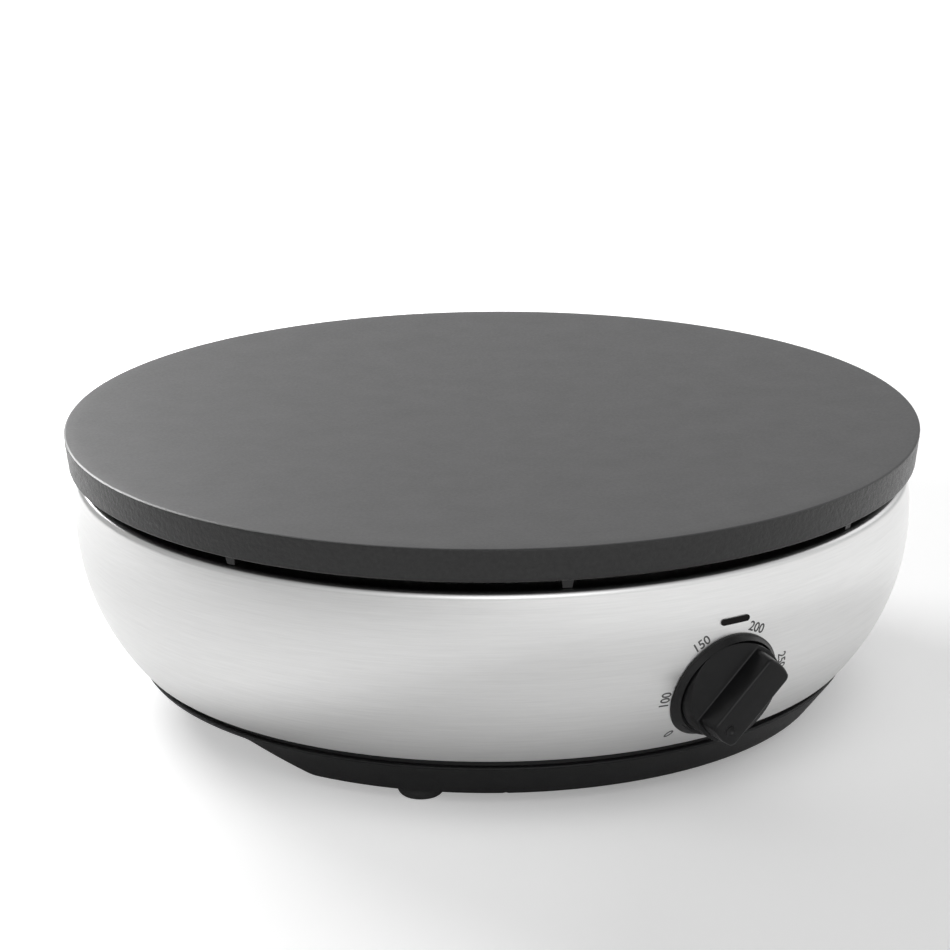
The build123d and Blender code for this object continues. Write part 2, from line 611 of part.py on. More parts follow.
# ================================================================ heat reflector
with BuildPart() as heat_reflector:
    well_z = REFLECTOR_TOP - REFLECTOR_WELL
    lip_z = REFLECTOR_TOP + REFLECTOR_LIP
    with BuildSketch(SECTION):
        with BuildLine():
            Polyline(
                (0, well_z),
                (REFLECTOR_WELL_R, well_z),
                (REFLECTOR_WELL_R + REFLECTOR_WELL, REFLECTOR_TOP),
                (REFLECTOR_R - REFLECTOR_T, REFLECTOR_TOP),
                (REFLECTOR_R - REFLECTOR_T, lip_z),
                (REFLECTOR_R, lip_z),
                (REFLECTOR_R, REFLECTOR_TOP - REFLECTOR_T),
                (REFLECTOR_WELL_R + REFLECTOR_WELL + 0.33, REFLECTOR_TOP - REFLECTOR_T),
                (REFLECTOR_WELL_R + 0.33, well_z - REFLECTOR_T),
                (0, well_z - REFLECTOR_T),
                close=True,
            )
        make_face()
    revolve(axis=SPIN)
    reflector_edge = heat_reflector.edges().filter_by(GeomType.CIRCLE).filter_by(
        lambda edge: abs(edge.radius - REFLECTOR_R) < 0.01 and edge.center().Z < REFLECTOR_TOP
    )
    fillet(reflector_edge, 0.7)
    # openings for studs, heater legs, the sensor tube and air
    with BuildSketch(level(well_z - 5)):
        with PolarLocations(TIE_RING, 4, start_angle=45):
            Circle(TIE_R + HOLE)
        with Locations((0, ELEMENT_RING)):
            SlotOverall(2 * ELEMENT_RING * sin(radians(ELEMENT_GAP)), 13.0)
        with Locations((TUBE_X, TUBE_Y)):
            Circle(TUBE_HOLE)
        with Locations((0, 0), (EARTH_X, EARTH_Y)):
            Circle(SCREW_R + FIT)
        with PolarLocations(REFLECTOR_R - REFLECTOR_VENT_IN, 12, start_angle=15):
            SlotOverall(12.0, 8.0)
    extrude(amount=20, mode=Mode.SUBTRACT)
save(heat_reflector.part, "heat_reflector")

# ================================================================ tubular heater under the plate
GAP = radians(ELEMENT_GAP)
RING_END = Vector(ELEMENT_RING * sin(GAP), AXIS_Y + ELEMENT_RING * cos(GAP), ELEMENT_Z)
RING_START = Vector(-RING_END.X, RING_END.Y, ELEMENT_Z)
RING_FRONT = Vector(0, AXIS_Y - ELEMENT_RING, ELEMENT_Z)
END_HEADING = Vector(-cos(GAP), sin(GAP), 0)
START_HEADING = Vector(cos(GAP), sin(GAP), 0)
DOWN = Vector(0, 0, -1)


def leg_points(corner, heading):
    """Middle and end of the bend that turns the heater's end down, and the end of its leg."""
    middle = corner + heading * (ELEMENT_BEND * sin(pi / 4)) + DOWN * (ELEMENT_BEND * (1 - cos(pi / 4)))
    bend_end = corner + heading * ELEMENT_BEND + DOWN * ELEMENT_BEND
    leg_end = Vector(bend_end.X, bend_end.Y, LEG_END)
    return middle, bend_end, leg_end


end_mid, end_bend, end_leg = leg_points(RING_END, END_HEADING)
start_mid, start_bend, start_leg = leg_points(RING_START, START_HEADING)

with BuildPart() as heating_element:
    with BuildLine() as heater_line:
        Line(start_leg, start_bend)
        ThreePointArc(start_bend, start_mid, RING_START)
        ThreePointArc(RING_START, RING_FRONT, RING_END)
        ThreePointArc(RING_END, end_mid, end_bend)
        Line(end_bend, end_leg)
    with BuildSketch(Plane(origin=start_leg, x_dir=(1, 0, 0), z_dir=(0, 0, 1))):
        Circle(ELEMENT_R)
    sweep(path=heater_line.line)
save(heating_element.part, "heating_element")

LEG_X = end_leg.X
LEG_Y = end_leg.Y - AXIS_Y
INSULATOR_T = 5.0
PIN_R = 1.6
PIN_LONG = 14.0

with BuildPart() as element_insulators:
    with BuildSketch(level(LEG_END - INSULATOR_T)):
        with Locations((-LEG_X, LEG_Y), (LEG_X, LEG_Y)):
            Circle(ELEMENT_R)
    extrude(amount=INSULATOR_T)
    with BuildSketch(level(LEG_END - INSULATOR_T)):
        with Locations((-LEG_X, LEG_Y), (LEG_X, LEG_Y)):
            Circle(ELEMENT_R - 0.7)
    extrude(amount=-2.0)
    with BuildSketch(level(LEG_END - 10)):
        with Locations((-LEG_X, LEG_Y), (LEG_X, LEG_Y)):
            Circle(PIN_R + FIT)
    extrude(amount=20, mode=Mode.SUBTRACT)
save(element_insulators.part, "element_insulators")

with BuildPart() as element_pins:
    with BuildSketch(level(LEG_END - PIN_LONG)):
        with Locations((-LEG_X, LEG_Y), (LEG_X, LEG_Y)):
            Circle(PIN_R)
    extrude(amount=PIN_LONG)
save(element_pins.part, "element_pins")

with BuildPart() as element_clamps:
    with BuildSketch(level(CLAMP_TOP - CLAMP_T)):
        with clamp_places(ELEMENT_RING):
            SlotOverall(2 * (CLAMP_REACH + CLAMP_BOSS_R), 2 * CLAMP_BOSS_R)
            with Locations((-CLAMP_REACH, 0), (CLAMP_REACH, 0)):
                Circle(SCREW_R + HOLE, mode=Mode.SUBTRACT)
    extrude(amount=CLAMP_T)
save(element_clamps.part, "element_clamps")

with BuildPart(level(CLAMP_TOP - CLAMP_T)) as clamp_screws:
    for clamp_ring in (ELEMENT_RING - CLAMP_REACH, ELEMENT_RING + CLAMP_REACH):
        with clamp_places(clamp_ring):
            add(pan_screw(CLAMP_T + CLAMP_BITE))
save(clamp_screws.part, "clamp_screws")

# ================================================================ tie studs from plate to base
STUD_TOP = WEB_Z - 0.5
STUD_LOW = FLOOR_Z - WASHER_T - NUT5_T - THREAD_PAST

with BuildPart() as tie_studs:
    with BuildSketch(level(STUD_LOW)):
        with PolarLocations(TIE_RING, 4, start_angle=45):
            Circle(TIE_R)
    extrude(amount=STUD_TOP - STUD_LOW)
    stud_ends = tie_studs.edges().group_by(Axis.Z)[0]
    chamfer(stud_ends, 0.5)
save(tie_studs.part, "tie_studs")

with BuildPart(level(REFLECTOR_TOP - REFLECTOR_T - NUT5_T)) as reflector_nuts:
    with PolarLocations(TIE_RING, 4, start_angle=45):
        add(hex_nut(NUT5_FLATS, TIE_R + FIT, NUT5_T))
save(reflector_nuts.part, "reflector_nuts")

with BuildPart() as tie_washers:
    with BuildSketch(level(FLOOR_Z - WASHER_T)):
        with PolarLocations(TIE_RING, 4, start_angle=45):
            Circle(WASHER_R)
            Circle(TIE_R + 0.2, mode=Mode.SUBTRACT)
    extrude(amount=WASHER_T)
save(tie_washers.part, "tie_washers")

with BuildPart(level(FLOOR_Z - WASHER_T - NUT5_T)) as tie_nuts:
    with PolarLocations(TIE_RING, 4, start_angle=45):
        add(hex_nut(NUT5_FLATS, TIE_R + FIT, NUT5_T))
save(tie_nuts.part, "tie_nuts")

# ================================================================ bezel and cup that the knob is let into
# The rim's outer wall and back follow the bowl, its bevelled face leans with the bowl, and the cup behind
# it is square to the knob's own axis.
with BuildPart() as knob_bezel:
    with BuildSketch(BEZEL_PLANE):
        Circle(BEZEL_R)
    extrude(amount=BEZEL_FRONT + 1.0)
    with BuildSketch(BEZEL_PLANE):
        Circle(BEZEL_R)
    extrude(amount=-BEZEL_R)
    add(bowl_space(SEAT), mode=Mode.SUBTRACT)
    with BuildSketch(dial(CUP_FLOOR - CUP_FLOOR_T)):
        Circle(CUP_R)
    extrude(amount=BEZEL_R)
    # bevelled face
    with BuildSketch(Plane(origin=BEZEL_PLANE.origin, x_dir=(1, 0, 0), z_dir=-BEZEL_PLANE.y_dir)):
        # x is the radius from the rim's axis, and y points out of the bowl
        with BuildLine():
            Polyline(
                (0, BEZEL_FRONT + 0.4),
                (BEZEL_BORE - 0.5, BEZEL_FRONT + 0.4),
                (BEZEL_R, 0),
                (BEZEL_R, -BEZEL_R),
                (0, -BEZEL_R),
                close=True,
            )
        make_face()
    revolve(axis=Axis(BEZEL_PLANE.origin, BEZEL_PLANE.z_dir), mode=Mode.INTERSECT)
    # bore of the cup, the hollow behind its floor and the hole for the spindle
    with BuildSketch(dial(CUP_FLOOR)):
        Circle(BEZEL_BORE)
    extrude(amount=BEZEL_R, mode=Mode.SUBTRACT)
    with BuildSketch(dial(CUP_FLOOR - CUP_FLOOR_T)):
        Circle(BEZEL_BORE)
    extrude(amount=-BEZEL_R, mode=Mode.SUBTRACT)
    with BuildSketch(dial(CUP_FLOOR - CUP_FLOOR_T)):
        Circle(SPINDLE_R + 1.2)
    extrude(amount=2 * CUP_FLOOR_T, mode=Mode.SUBTRACT)
save(knob_bezel.part, "knob_bezel")

# ================================================================ control knob
# In the knob's own frame the pointer end of the blade lies at 225 degrees, which is the off mark.
BLADE_LONG = 2 * BLADE_R + 6
HUB_R = 5.6
CAVITY_R = 18.0
CAVITY_TOP = KNOB_CROWN - KNOB_SKIN
BLADE_HOLLOW = KNOB_TOP - 2.8

with BuildPart(KNOB_PLANE) as knob:
    with BuildSketch(Plane(origin=KNOB_PLANE.origin, x_dir=(1, 0, 0), z_dir=-KNOB_PLANE.y_dir)):
        # x is the radius from the knob's axis, and y points out of the bowl
        with BuildLine():
            Polyline(
                (0, KNOB_FOOT),
                (KNOB_R, KNOB_FOOT),
                (KNOB_R, KNOB_FOOT + 0.9),
                (KNOB_CROWN_R, KNOB_CROWN),
                (0, KNOB_CROWN),
                close=True,
            )
        make_face()
    revolve(axis=Axis(KNOB_PLANE.origin, KNOB_PLANE.z_dir))
    crown_edge = knob.edges().filter_by(GeomType.CIRCLE).filter_by(
        lambda edge: abs(edge.radius - KNOB_CROWN_R) < 0.01
    )
    fillet(crown_edge, 1.1)
    # dished face
    DISH_SPHERE = (DISH_R**2 + DISH_DEEP**2) / (2 * DISH_DEEP)
    with Locations((0, 0, KNOB_CROWN - DISH_DEEP + DISH_SPHERE)):
        Sphere(DISH_SPHERE, mode=Mode.SUBTRACT)
    # grip blade across the whole face
    with BuildSketch(dial(KNOB_CROWN - BLADE_SINK)):
        Circle(BLADE_R)
        Rectangle(BLADE_LONG, BLADE_WIDE, rotation=KNOB_OFF, mode=Mode.INTERSECT)
    extrude(amount=KNOB_TOP - KNOB_CROWN + BLADE_SINK, taper=BLADE_DRAFT)
    blade_top = knob.faces().filter_by(
        lambda face: KNOB_PLANE.to_local_coords(face.center()).Z > KNOB_TOP - 0.05
    )
    fillet(blade_top.edges(), 1.3)
    # pointer dimple near the blade's end
    with Locations((-13.2 * cos(radians(KNOB_OFF)), -13.2 * sin(radians(KNOB_OFF)), KNOB_TOP + 3.4)):
        Sphere(4.0, mode=Mode.SUBTRACT)
    # hollow underside with a hub for the spindle
    with BuildSketch(dial(KNOB_FOOT)):
        Circle(CAVITY_R)
        Circle(HUB_R, mode=Mode.SUBTRACT)
    extrude(amount=CAVITY_TOP - KNOB_FOOT, mode=Mode.SUBTRACT)
    with BuildSketch(dial(KNOB_FOOT)):
        Rectangle(2 * BLADE_R - 8, BLADE_WIDE - 4.6, rotation=KNOB_OFF)
        Circle(HUB_R, mode=Mode.SUBTRACT)
    extrude(amount=BLADE_HOLLOW - KNOB_FOOT, mode=Mode.SUBTRACT)
    # bore with a flat
    with BuildSketch(dial(KNOB_FOOT)):
        Circle(SPINDLE_R + 0.03)
        with Locations((0, SPINDLE_FLAT + 0.03 + 2.0)):
            Rectangle(8, 4, mode=Mode.SUBTRACT)
    extrude(amount=SPINDLE_FRONT + 0.2 - KNOB_FOOT, mode=Mode.SUBTRACT)
save(knob.part, "knob")

with BuildPart(KNOB_PLANE) as knob_clip:
    with BuildSketch(dial(KNOB_FOOT + 0.1)):
        Circle(HUB_R + 0.85)
        Circle(HUB_R + 0.05, mode=Mode.SUBTRACT)
        with Locations((0, -HUB_R)):
            Rectangle(3.0, 4.0, mode=Mode.SUBTRACT)
    extrude(amount=1.15)
    with BuildSketch(dial(KNOB_FOOT + 0.1)):
        Circle(HUB_R + 0.85)
        Circle(HUB_R + 0.05, mode=Mode.SUBTRACT)
        Rectangle(16.0, 8.0, rotation=KNOB_OFF, mode=Mode.INTERSECT)
    extrude(amount=8.0)
save(knob_clip.part, "knob_clip")

with BuildPart(KNOB_PLANE) as control_spindle:
    with BuildSketch(dial(SPINDLE_BACK)):
        Circle(SPINDLE_R)
    extrude(amount=SPINDLE_FRONT - SPINDLE_BACK)
    with BuildSketch(dial(KNOB_FOOT - 0.6)):
        with Locations((0, SPINDLE_FLAT + 2.0)):
            Rectangle(8, 4)
    extrude(amount=20, mode=Mode.SUBTRACT)
    spindle_ends = control_spindle.edges().filter_by(GeomType.CIRCLE).filter_by(
        lambda edge: KNOB_PLANE.to_local_coords(edge.center()).Z < SPINDLE_BACK + 0.1
    )
    chamfer(spindle_ends, 0.4)
save(control_spindle.part, "control_spindle")

# ================================================================ thermostat and its bracket
BUSHING_R = 5.0
NUT10_APOTHEM = 7.0
NUT10_T = 3.0
BUSHING_FRONT = THERMO_FACE + BRACKET_T + NUT10_T + 4.0
BRACKET_BELOW = KNOB_Z - LIP_Z + 12.0

TOP_HOLE_X = BRACKET_WIDE / 2 - 5.5
TOP_HOLE_Y = BRACKET_ABOVE - 5.0

with BuildPart(KNOB_PLANE) as thermostat_bracket:
    with BuildSketch(dial(THERMO_FACE)):
        with Locations((0, (BRACKET_ABOVE - BRACKET_BELOW) / 2)):
            Rectangle(BRACKET_WIDE, BRACKET_ABOVE + BRACKET_BELOW)
        Circle(BUSHING_R + 0.2, mode=Mode.SUBTRACT)
        with Locations((-TOP_HOLE_X, TOP_HOLE_Y), (TOP_HOLE_X, TOP_HOLE_Y)):
            Circle(2.1, mode=Mode.SUBTRACT)
    extrude(amount=BRACKET_T)
    # trimmed at the base's floor, then turned in to a foot
    with BuildSketch(level(LIP_Z)):
        with Locations((0, -KNOB_SEAT_R)):
            Rectangle(2 * BRACKET_WIDE, KNOB_SEAT_R)
    extrude(amount=-2 * BRACKET_BELOW, mode=Mode.SUBTRACT)
    with BuildSketch(level(LIP_Z)):
        with Locations((0, BRACKET_HEEL - 1.0)):
            Rectangle(BRACKET_WIDE, BRACKET_FOOT, align=(Align.CENTER, Align.MIN))
        with Locations((-BRACKET_SCREW_X, BRACKET_SCREW_Y), (BRACKET_SCREW_X, BRACKET_SCREW_Y)):
            Circle(SCREW_R + HOLE, mode=Mode.SUBTRACT)
    extrude(amount=BRACKET_T)
save(thermostat_bracket.part, "thermostat_bracket")

with BuildPart(level(LIP_Z + BRACKET_T)) as bracket_screws:
    with Locations((-BRACKET_SCREW_X, BRACKET_SCREW_Y), (BRACKET_SCREW_X, BRACKET_SCREW_Y)):
        add(pan_screw(BRACKET_T + FLOOR_T + TRAY_RIB_TALL), rotation=(180, 0, 0))
save(bracket_screws.part, "bracket_screws")

with BuildPart(KNOB_PLANE) as thermostat_body:
    with BuildSketch(dial(THERMO_FACE)):
        RectangleRounded(THERMO_SIDE, THERMO_SIDE, 3.0)
    extrude(amount=-8.0)
    with BuildSketch(dial(THERMO_FACE - 8.0)):
        Circle(THERMO_SIDE / 2 - 2.0)
    extrude(amount=-THERMO_DEEP + 8.0, taper=2)
    # threaded bushing
    with BuildSketch(dial(THERMO_FACE - 0.5)):
        Circle(BUSHING_R)
    extrude(amount=BUSHING_FRONT - THERMO_FACE + 0.5)
    # blade terminals at the rear
    with BuildSketch(dial(THERMO_FACE - THERMO_DEEP + 0.5)):
        with Locations((-7.0, 0), (7.0, 0)):
            Rectangle(0.8, 6.3)
    extrude(amount=-8.5)
    # bore for the spindle
    with BuildSketch(dial(BUSHING_FRONT + 1)):
        Circle(SPINDLE_R + FIT)
    extrude(amount=SPINDLE_BACK - BUSHING_FRONT - 2.0, mode=Mode.SUBTRACT)
save(thermostat_body.part, "thermostat_body")

with BuildPart(KNOB_PLANE) as thermostat_nut:
    with BuildSketch(dial(THERMO_FACE + BRACKET_T)):
        RegularPolygon(NUT10_APOTHEM, 6, major_radius=False)
        Circle(BUSHING_R + FIT, mode=Mode.SUBTRACT)
    extrude(amount=NUT10_T)
save(thermostat_nut.part, "thermostat_nut")

# ================================================================ sensor bulb, its clip and tube
with BuildPart() as sensor_bulb:
    with BuildSketch(Plane(origin=(-BULB_HALF, AXIS_Y + BULB_Y, BULB_Z), x_dir=(0, 1, 0), z_dir=(1, 0, 0))):
        Circle(BULB_R)
    extrude(amount=2 * BULB_HALF)
    bulb_ends = sensor_bulb.edges().filter_by(GeomType.CIRCLE)
    fillet(bulb_ends, 1.4)
save(sensor_bulb.part, "sensor_bulb")

with BuildPart() as bulb_clip:
    with BuildSketch(level(CLIP_TOP - CLIP_T)):
        with Locations((0, BULB_Y)):
            RectangleRounded(9.0, 2 * CLIP_FOOT + 9.0, 2.0)
        with Locations((0, BULB_Y - CLIP_FOOT), (0, BULB_Y + CLIP_FOOT)):
            Circle(SCREW_R + HOLE, mode=Mode.SUBTRACT)
    extrude(amount=CLIP_T)
save(bulb_clip.part, "bulb_clip")

with BuildPart(level(CLIP_TOP - CLIP_T)) as bulb_clip_screws:
    with Locations((0, BULB_Y - CLIP_FOOT), (0, BULB_Y + CLIP_FOOT)):
        add(pan_screw(CLIP_T + CLAMP_BITE))
save(bulb_clip_screws.part, "bulb_clip_screws")


def place(x, y, z):
    """A point measured from the plate's axis, at height z."""
    return Vector(x, AXIS_Y + y, z)


def behind_dial(x, y, h):
    """A point in the knob's frame, h in front of the bowl."""
    return KNOB_PLANE.from_local_coords(Vector(x, y, h))


def run(points, bend, radius, heading):
    """A round lead or tube through the points, with bends of one radius."""
    with BuildPart() as piece:
        with BuildLine() as route:
            FilletPolyline(*points, radius=bend)
        with BuildSketch(Plane(origin=points[0], z_dir=heading)):
            Circle(radius)
        sweep(path=route.line)
    return piece.part


THERMO_REAR = THERMO_FACE - THERMO_DEEP
BLADE_END = THERMO_REAR - 8.0
TUBE_LOCAL_X = 9.0
TUBE_LOCAL_Y = 8.0

tube_points = (
    place(BULB_HALF, BULB_Y, BULB_Z),
    place(BULB_HALF + 7.0, BULB_Y, BULB_Z),
    place(TUBE_X, TUBE_Y, REFLECTOR_TOP + 4.0),
    place(TUBE_X, TUBE_Y, REFLECTOR_TOP - 16.0),
    behind_dial(TUBE_LOCAL_X, TUBE_LOCAL_Y, THERMO_REAR - 20.0),
    behind_dial(TUBE_LOCAL_X, TUBE_LOCAL_Y, THERMO_REAR),
)
capillary_tube = run(tube_points, 3.5, TUBE_R, (1, 0, 0))
save(capillary_tube, "capillary_tube")

# ================================================================ pilot light
PILOT_PROUD = 0.45
PILOT_RIM = 2.0       # the lens has a flange this wide behind the bowl
PILOT_FLANGE_T = 1.8
HOLDER_WIDE = 20.0
HOLDER_TALL = 9.0
HOLDER_DEEP = 16.0
FLANGE_HALF = PILOT_TALL / 2 + PILOT_RIM
FLANGE_CORNER_R = min(bowl_radius(PILOT_Z + FLANGE_HALF, WALL), bowl_radius(PILOT_Z - FLANGE_HALF, WALL))
PILOT_FLANGE = sqrt(FLANGE_CORNER_R**2 - (PILOT_LONG / 2 + PILOT_RIM) ** 2) - SEAT
PILOT_BACK = PILOT_FLANGE - PILOT_FLANGE_T
HOLDER_BACK = PILOT_BACK - HOLDER_DEEP
LAMP_R = 3.0
LAMP_LONG = 12.0

with BuildPart() as pilot_lens:
    with BuildSketch(FRONT_PLANE.offset(PILOT_BACK)):
        SlotOverall(PILOT_LONG, PILOT_TALL)
    extrude(amount=10)
    add(bowl_space(PILOT_PROUD), mode=Mode.INTERSECT)
    with BuildSketch(FRONT_PLANE.offset(PILOT_BACK)):
        SlotOverall(PILOT_LONG + 2 * PILOT_RIM, PILOT_TALL + 2 * PILOT_RIM)
    extrude(amount=PILOT_FLANGE - PILOT_BACK)
save(pilot_lens.part, "pilot_lens")

with BuildPart() as pilot_holder:
    with BuildSketch(FRONT_PLANE.offset(HOLDER_BACK)):
        RectangleRounded(HOLDER_WIDE, HOLDER_TALL, 1.5)
        Circle(LAMP_R + 0.1, mode=Mode.SUBTRACT)
    extrude(amount=PILOT_BACK - HOLDER_BACK)
save(pilot_holder.part, "pilot_holder")

with BuildPart() as pilot_lamp:
    with BuildSketch(FRONT_PLANE.offset(PILOT_BACK - 1.0)):
        Circle(LAMP_R)
    extrude(amount=-LAMP_LONG)
    lamp_front = pilot_lamp.edges().group_by(Axis.Y)[0]
    fillet(lamp_front, 1.6)
save(pilot_lamp.part, "pilot_lamp")

# ================================================================ cord bushing and terminal block
with BuildPart() as cord_bushing:
    with BuildSketch(Plane(origin=(0, AXIS_Y + BUSH_INNER, CORD_Z), x_dir=(-1, 0, 0), z_dir=(0, 1, 0))):
        Circle(BUSH_R)
    extrude(amount=BUSH_FACE - BUSH_INNER)
    with BuildSketch(Plane(origin=(0, AXIS_Y + BUSH_FACE, CORD_Z), x_dir=(-1, 0, 0), z_dir=(0, 1, 0))):
        Circle(BUSH_FLANGE_R)
    extrude(amount=BUSH_FLANGE_T)
    flange_edge = cord_bushing.edges().group_by(Axis.Y)[-1]
    fillet(flange_edge, 0.6)
    with BuildSketch(Plane(origin=(0, AXIS_Y + BUSH_INNER, CORD_Z), x_dir=(-1, 0, 0), z_dir=(0, 1, 0))):
        Circle(CORD_BORE)
    extrude(amount=40, mode=Mode.SUBTRACT)
save(cord_bushing.part, "cord_bushing")

POLE_Z = LIP_Z + 7.0
POLE_SCREW_R = 1.5
POLE_SCREW_Y = 5.5
with BuildPart() as terminal_block:
    with BuildSketch(level(LIP_Z)):
        with Locations((0, BLOCK_Y)):
            RectangleRounded(BLOCK_LONG, BLOCK_DEEP, 1.5)
    extrude(amount=BLOCK_TALL - 4.0)
    with BuildSketch(level(LIP_Z + BLOCK_TALL - 4.5)):
        with Locations((-BLOCK_PITCH, BLOCK_Y), (0, BLOCK_Y), (BLOCK_PITCH, BLOCK_Y)):
            RectangleRounded(BLOCK_PITCH - 4.2, BLOCK_DEEP - 2.0, 1.0)
    extrude(amount=4.5)
    # wire holes through each pole, from front to back
    pole_origin = (0, AXIS_Y + BLOCK_Y - BLOCK_DEEP, POLE_Z)
    with BuildSketch(Plane(origin=pole_origin, x_dir=(-1, 0, 0), z_dir=(0, 1, 0))):
        with Locations((-BLOCK_PITCH, 0), (0, 0), (BLOCK_PITCH, 0)):
            SlotOverall(6.6, 3.4)
    extrude(amount=2 * BLOCK_DEEP, mode=Mode.SUBTRACT)
    # clamping screw holes and fixing holes
    with BuildSketch(level(POLE_Z + 1.0)):
        with Locations((-BLOCK_PITCH, BLOCK_Y), (0, BLOCK_Y), (BLOCK_PITCH, BLOCK_Y)):
            with Locations((0, -POLE_SCREW_Y), (0, POLE_SCREW_Y)):
                Circle(POLE_SCREW_R + FIT)
    extrude(amount=BLOCK_TALL, mode=Mode.SUBTRACT)
    with BuildSketch(level(LIP_Z - 1.0)):
        with Locations((-BLOCK_PITCH / 2, BLOCK_Y), (BLOCK_PITCH / 2, BLOCK_Y)):
            Circle(BLOCK_SCREW_R + 0.2)
    extrude(amount=BLOCK_TALL, mode=Mode.SUBTRACT)
save(terminal_block.part, "terminal_block")

with BuildPart() as pole_screws:
    with BuildSketch(level(POLE_Z + 1.8)):
        with Locations((-BLOCK_PITCH, BLOCK_Y), (0, BLOCK_Y), (BLOCK_PITCH, BLOCK_Y)):
            with Locations((0, -POLE_SCREW_Y), (0, POLE_SCREW_Y)):
                Circle(POLE_SCREW_R)
    extrude(amount=BLOCK_TALL - 8.6)
save(pole_screws.part, "pole_screws")

with BuildPart() as block_screws:
    with BuildSketch(level(FLOOR_Z - 4.0)):
        with Locations((-BLOCK_PITCH / 2, BLOCK_Y), (BLOCK_PITCH / 2, BLOCK_Y)):
            Circle(BLOCK_SCREW_R)
    extrude(amount=LIP_Z + BLOCK_TALL - 4.0 - FLOOR_Z + 4.0)
    with BuildSketch(level(LIP_Z + BLOCK_TALL - 4.0)):
        with Locations((-BLOCK_PITCH / 2, BLOCK_Y), (BLOCK_PITCH / 2, BLOCK_Y)):
            Circle(1.95)
            Rectangle(5.0, 0.7, mode=Mode.SUBTRACT)
    extrude(amount=1.6)
save(block_screws.part, "block_screws")

# ================================================================ thermal fuse and earth tag
FUSE_R = 3.0
FUSE_HALF = 14.0
FUSE_Y = 12.0
FUSE_CLIP_T = 1.0
FUSE_Z = REFLECTOR_UNDER - FUSE_R - FIT - FUSE_CLIP_T
TAG_T = 0.8
TAG_TAIL = 12.0
TAG_BARREL = 7.0

with BuildPart() as thermal_fuse:
    with BuildSketch(Plane(origin=(-FUSE_HALF, AXIS_Y + FUSE_Y, FUSE_Z), x_dir=(0, 1, 0), z_dir=(1, 0, 0))):
        Circle(FUSE_R)
    extrude(amount=2 * FUSE_HALF)
    fuse_ends = thermal_fuse.edges().filter_by(GeomType.CIRCLE)
    chamfer(fuse_ends, 0.8)
save(thermal_fuse.part, "thermal_fuse")

with BuildPart() as fuse_clip:
    with BuildSketch(Plane(origin=(-4.0, AXIS_Y, REFLECTOR_UNDER), x_dir=(0, 1, 0), z_dir=(1, 0, 0))):
        with Locations((FUSE_Y, FUSE_Z - REFLECTOR_UNDER)):
            Circle(FUSE_R + FIT + FUSE_CLIP_T)
        with Locations((-6.0, 0)):
            Rectangle(FUSE_Y + 6.0, FUSE_CLIP_T, align=(Align.MIN, Align.MAX))
        with Locations((FUSE_Y, FUSE_Z - REFLECTOR_UNDER)):
            Circle(FUSE_R + FIT, mode=Mode.SUBTRACT)
    extrude(amount=8.0)
    with BuildSketch(level(REFLECTOR_UNDER - 2.0)):
        Circle(SCREW_R + HOLE)
    extrude(amount=4.0, mode=Mode.SUBTRACT)
save(fuse_clip.part, "fuse_clip")

with BuildPart() as earth_tag:
    with BuildSketch(level(REFLECTOR_UNDER - TAG_T)):
        with Locations((EARTH_X, EARTH_Y)):
            Circle(4.2)
        with Locations((EARTH_X, EARTH_Y + TAG_TAIL / 2)):
            Rectangle(4.0, TAG_TAIL)
        with Locations((EARTH_X, EARTH_Y + TAG_TAIL)):
            Circle(2.0)
        with Locations((EARTH_X, EARTH_Y)):
            Circle(SCREW_R + HOLE, mode=Mode.SUBTRACT)
    extrude(amount=TAG_T)
    with BuildSketch(level(REFLECTOR_UNDER - TAG_T)):
        with Locations((EARTH_X, EARTH_Y + TAG_TAIL)):
            Circle(2.0)
    extrude(amount=-TAG_BARREL)
save(earth_tag.part, "earth_tag")

with BuildPart() as reflector_screws:
    fuse_screw = place(0, 0, REFLECTOR_UNDER - FUSE_CLIP_T)
    earth_screw = place(EARTH_X, EARTH_Y, REFLECTOR_UNDER - TAG_T)
    with Locations(fuse_screw, earth_screw):
        add(pan_screw(FUSE_CLIP_T + REFLECTOR_T + 3.2))
save(reflector_screws.part, "reflector_screws")

# ================================================================ leads inside the body
LEAD_R = 1.3
THIN_LEAD_R = 0.8
POLE_FACE = BLOCK_Y - BLOCK_DEEP / 2 + 4.0
PIN_END = LEG_END - PIN_LONG
LAMP_REAR = PILOT_BACK - 1.0 - LAMP_LONG

live_points = (
    place(-BLOCK_PITCH, POLE_FACE, POLE_Z),
    place(-BLOCK_PITCH, BLOCK_Y - 28.0, POLE_Z),
    place(-40.0, BLOCK_Y - 54.0, POLE_Z + 4.0),
    place(-40.0, -50.0, POLE_Z + 4.0),
    behind_dial(-7.0, 0, BLADE_END - 22.0),
    behind_dial(-7.0, 0, BLADE_END),
)
switched_points = (
    behind_dial(7.0, 0, BLADE_END),
    behind_dial(7.0, 0, BLADE_END - 22.0),
    place(44.0, -40.0, PIN_END + 2.0),
    place(44.0, FUSE_Y, FUSE_Z),
    place(FUSE_HALF, FUSE_Y, FUSE_Z),
)
heater_points = (
    place(-FUSE_HALF, FUSE_Y, FUSE_Z),
    place(-36.0, FUSE_Y, FUSE_Z),
    place(-36.0, LEG_Y - 20.0, PIN_END - 6.0),
    place(-LEG_X, LEG_Y, PIN_END - 16.0),
    place(-LEG_X, LEG_Y, PIN_END),
)
neutral_points = (
    place(LEG_X, LEG_Y, PIN_END),
    place(LEG_X, LEG_Y, PIN_END - 22.0),
    place(BLOCK_PITCH - 1.4, BLOCK_Y - 22.0, PIN_END - 22.0),
    place(BLOCK_PITCH - 1.4, BLOCK_Y - 22.0, POLE_Z),
    place(BLOCK_PITCH - 1.4, POLE_FACE, POLE_Z),
)
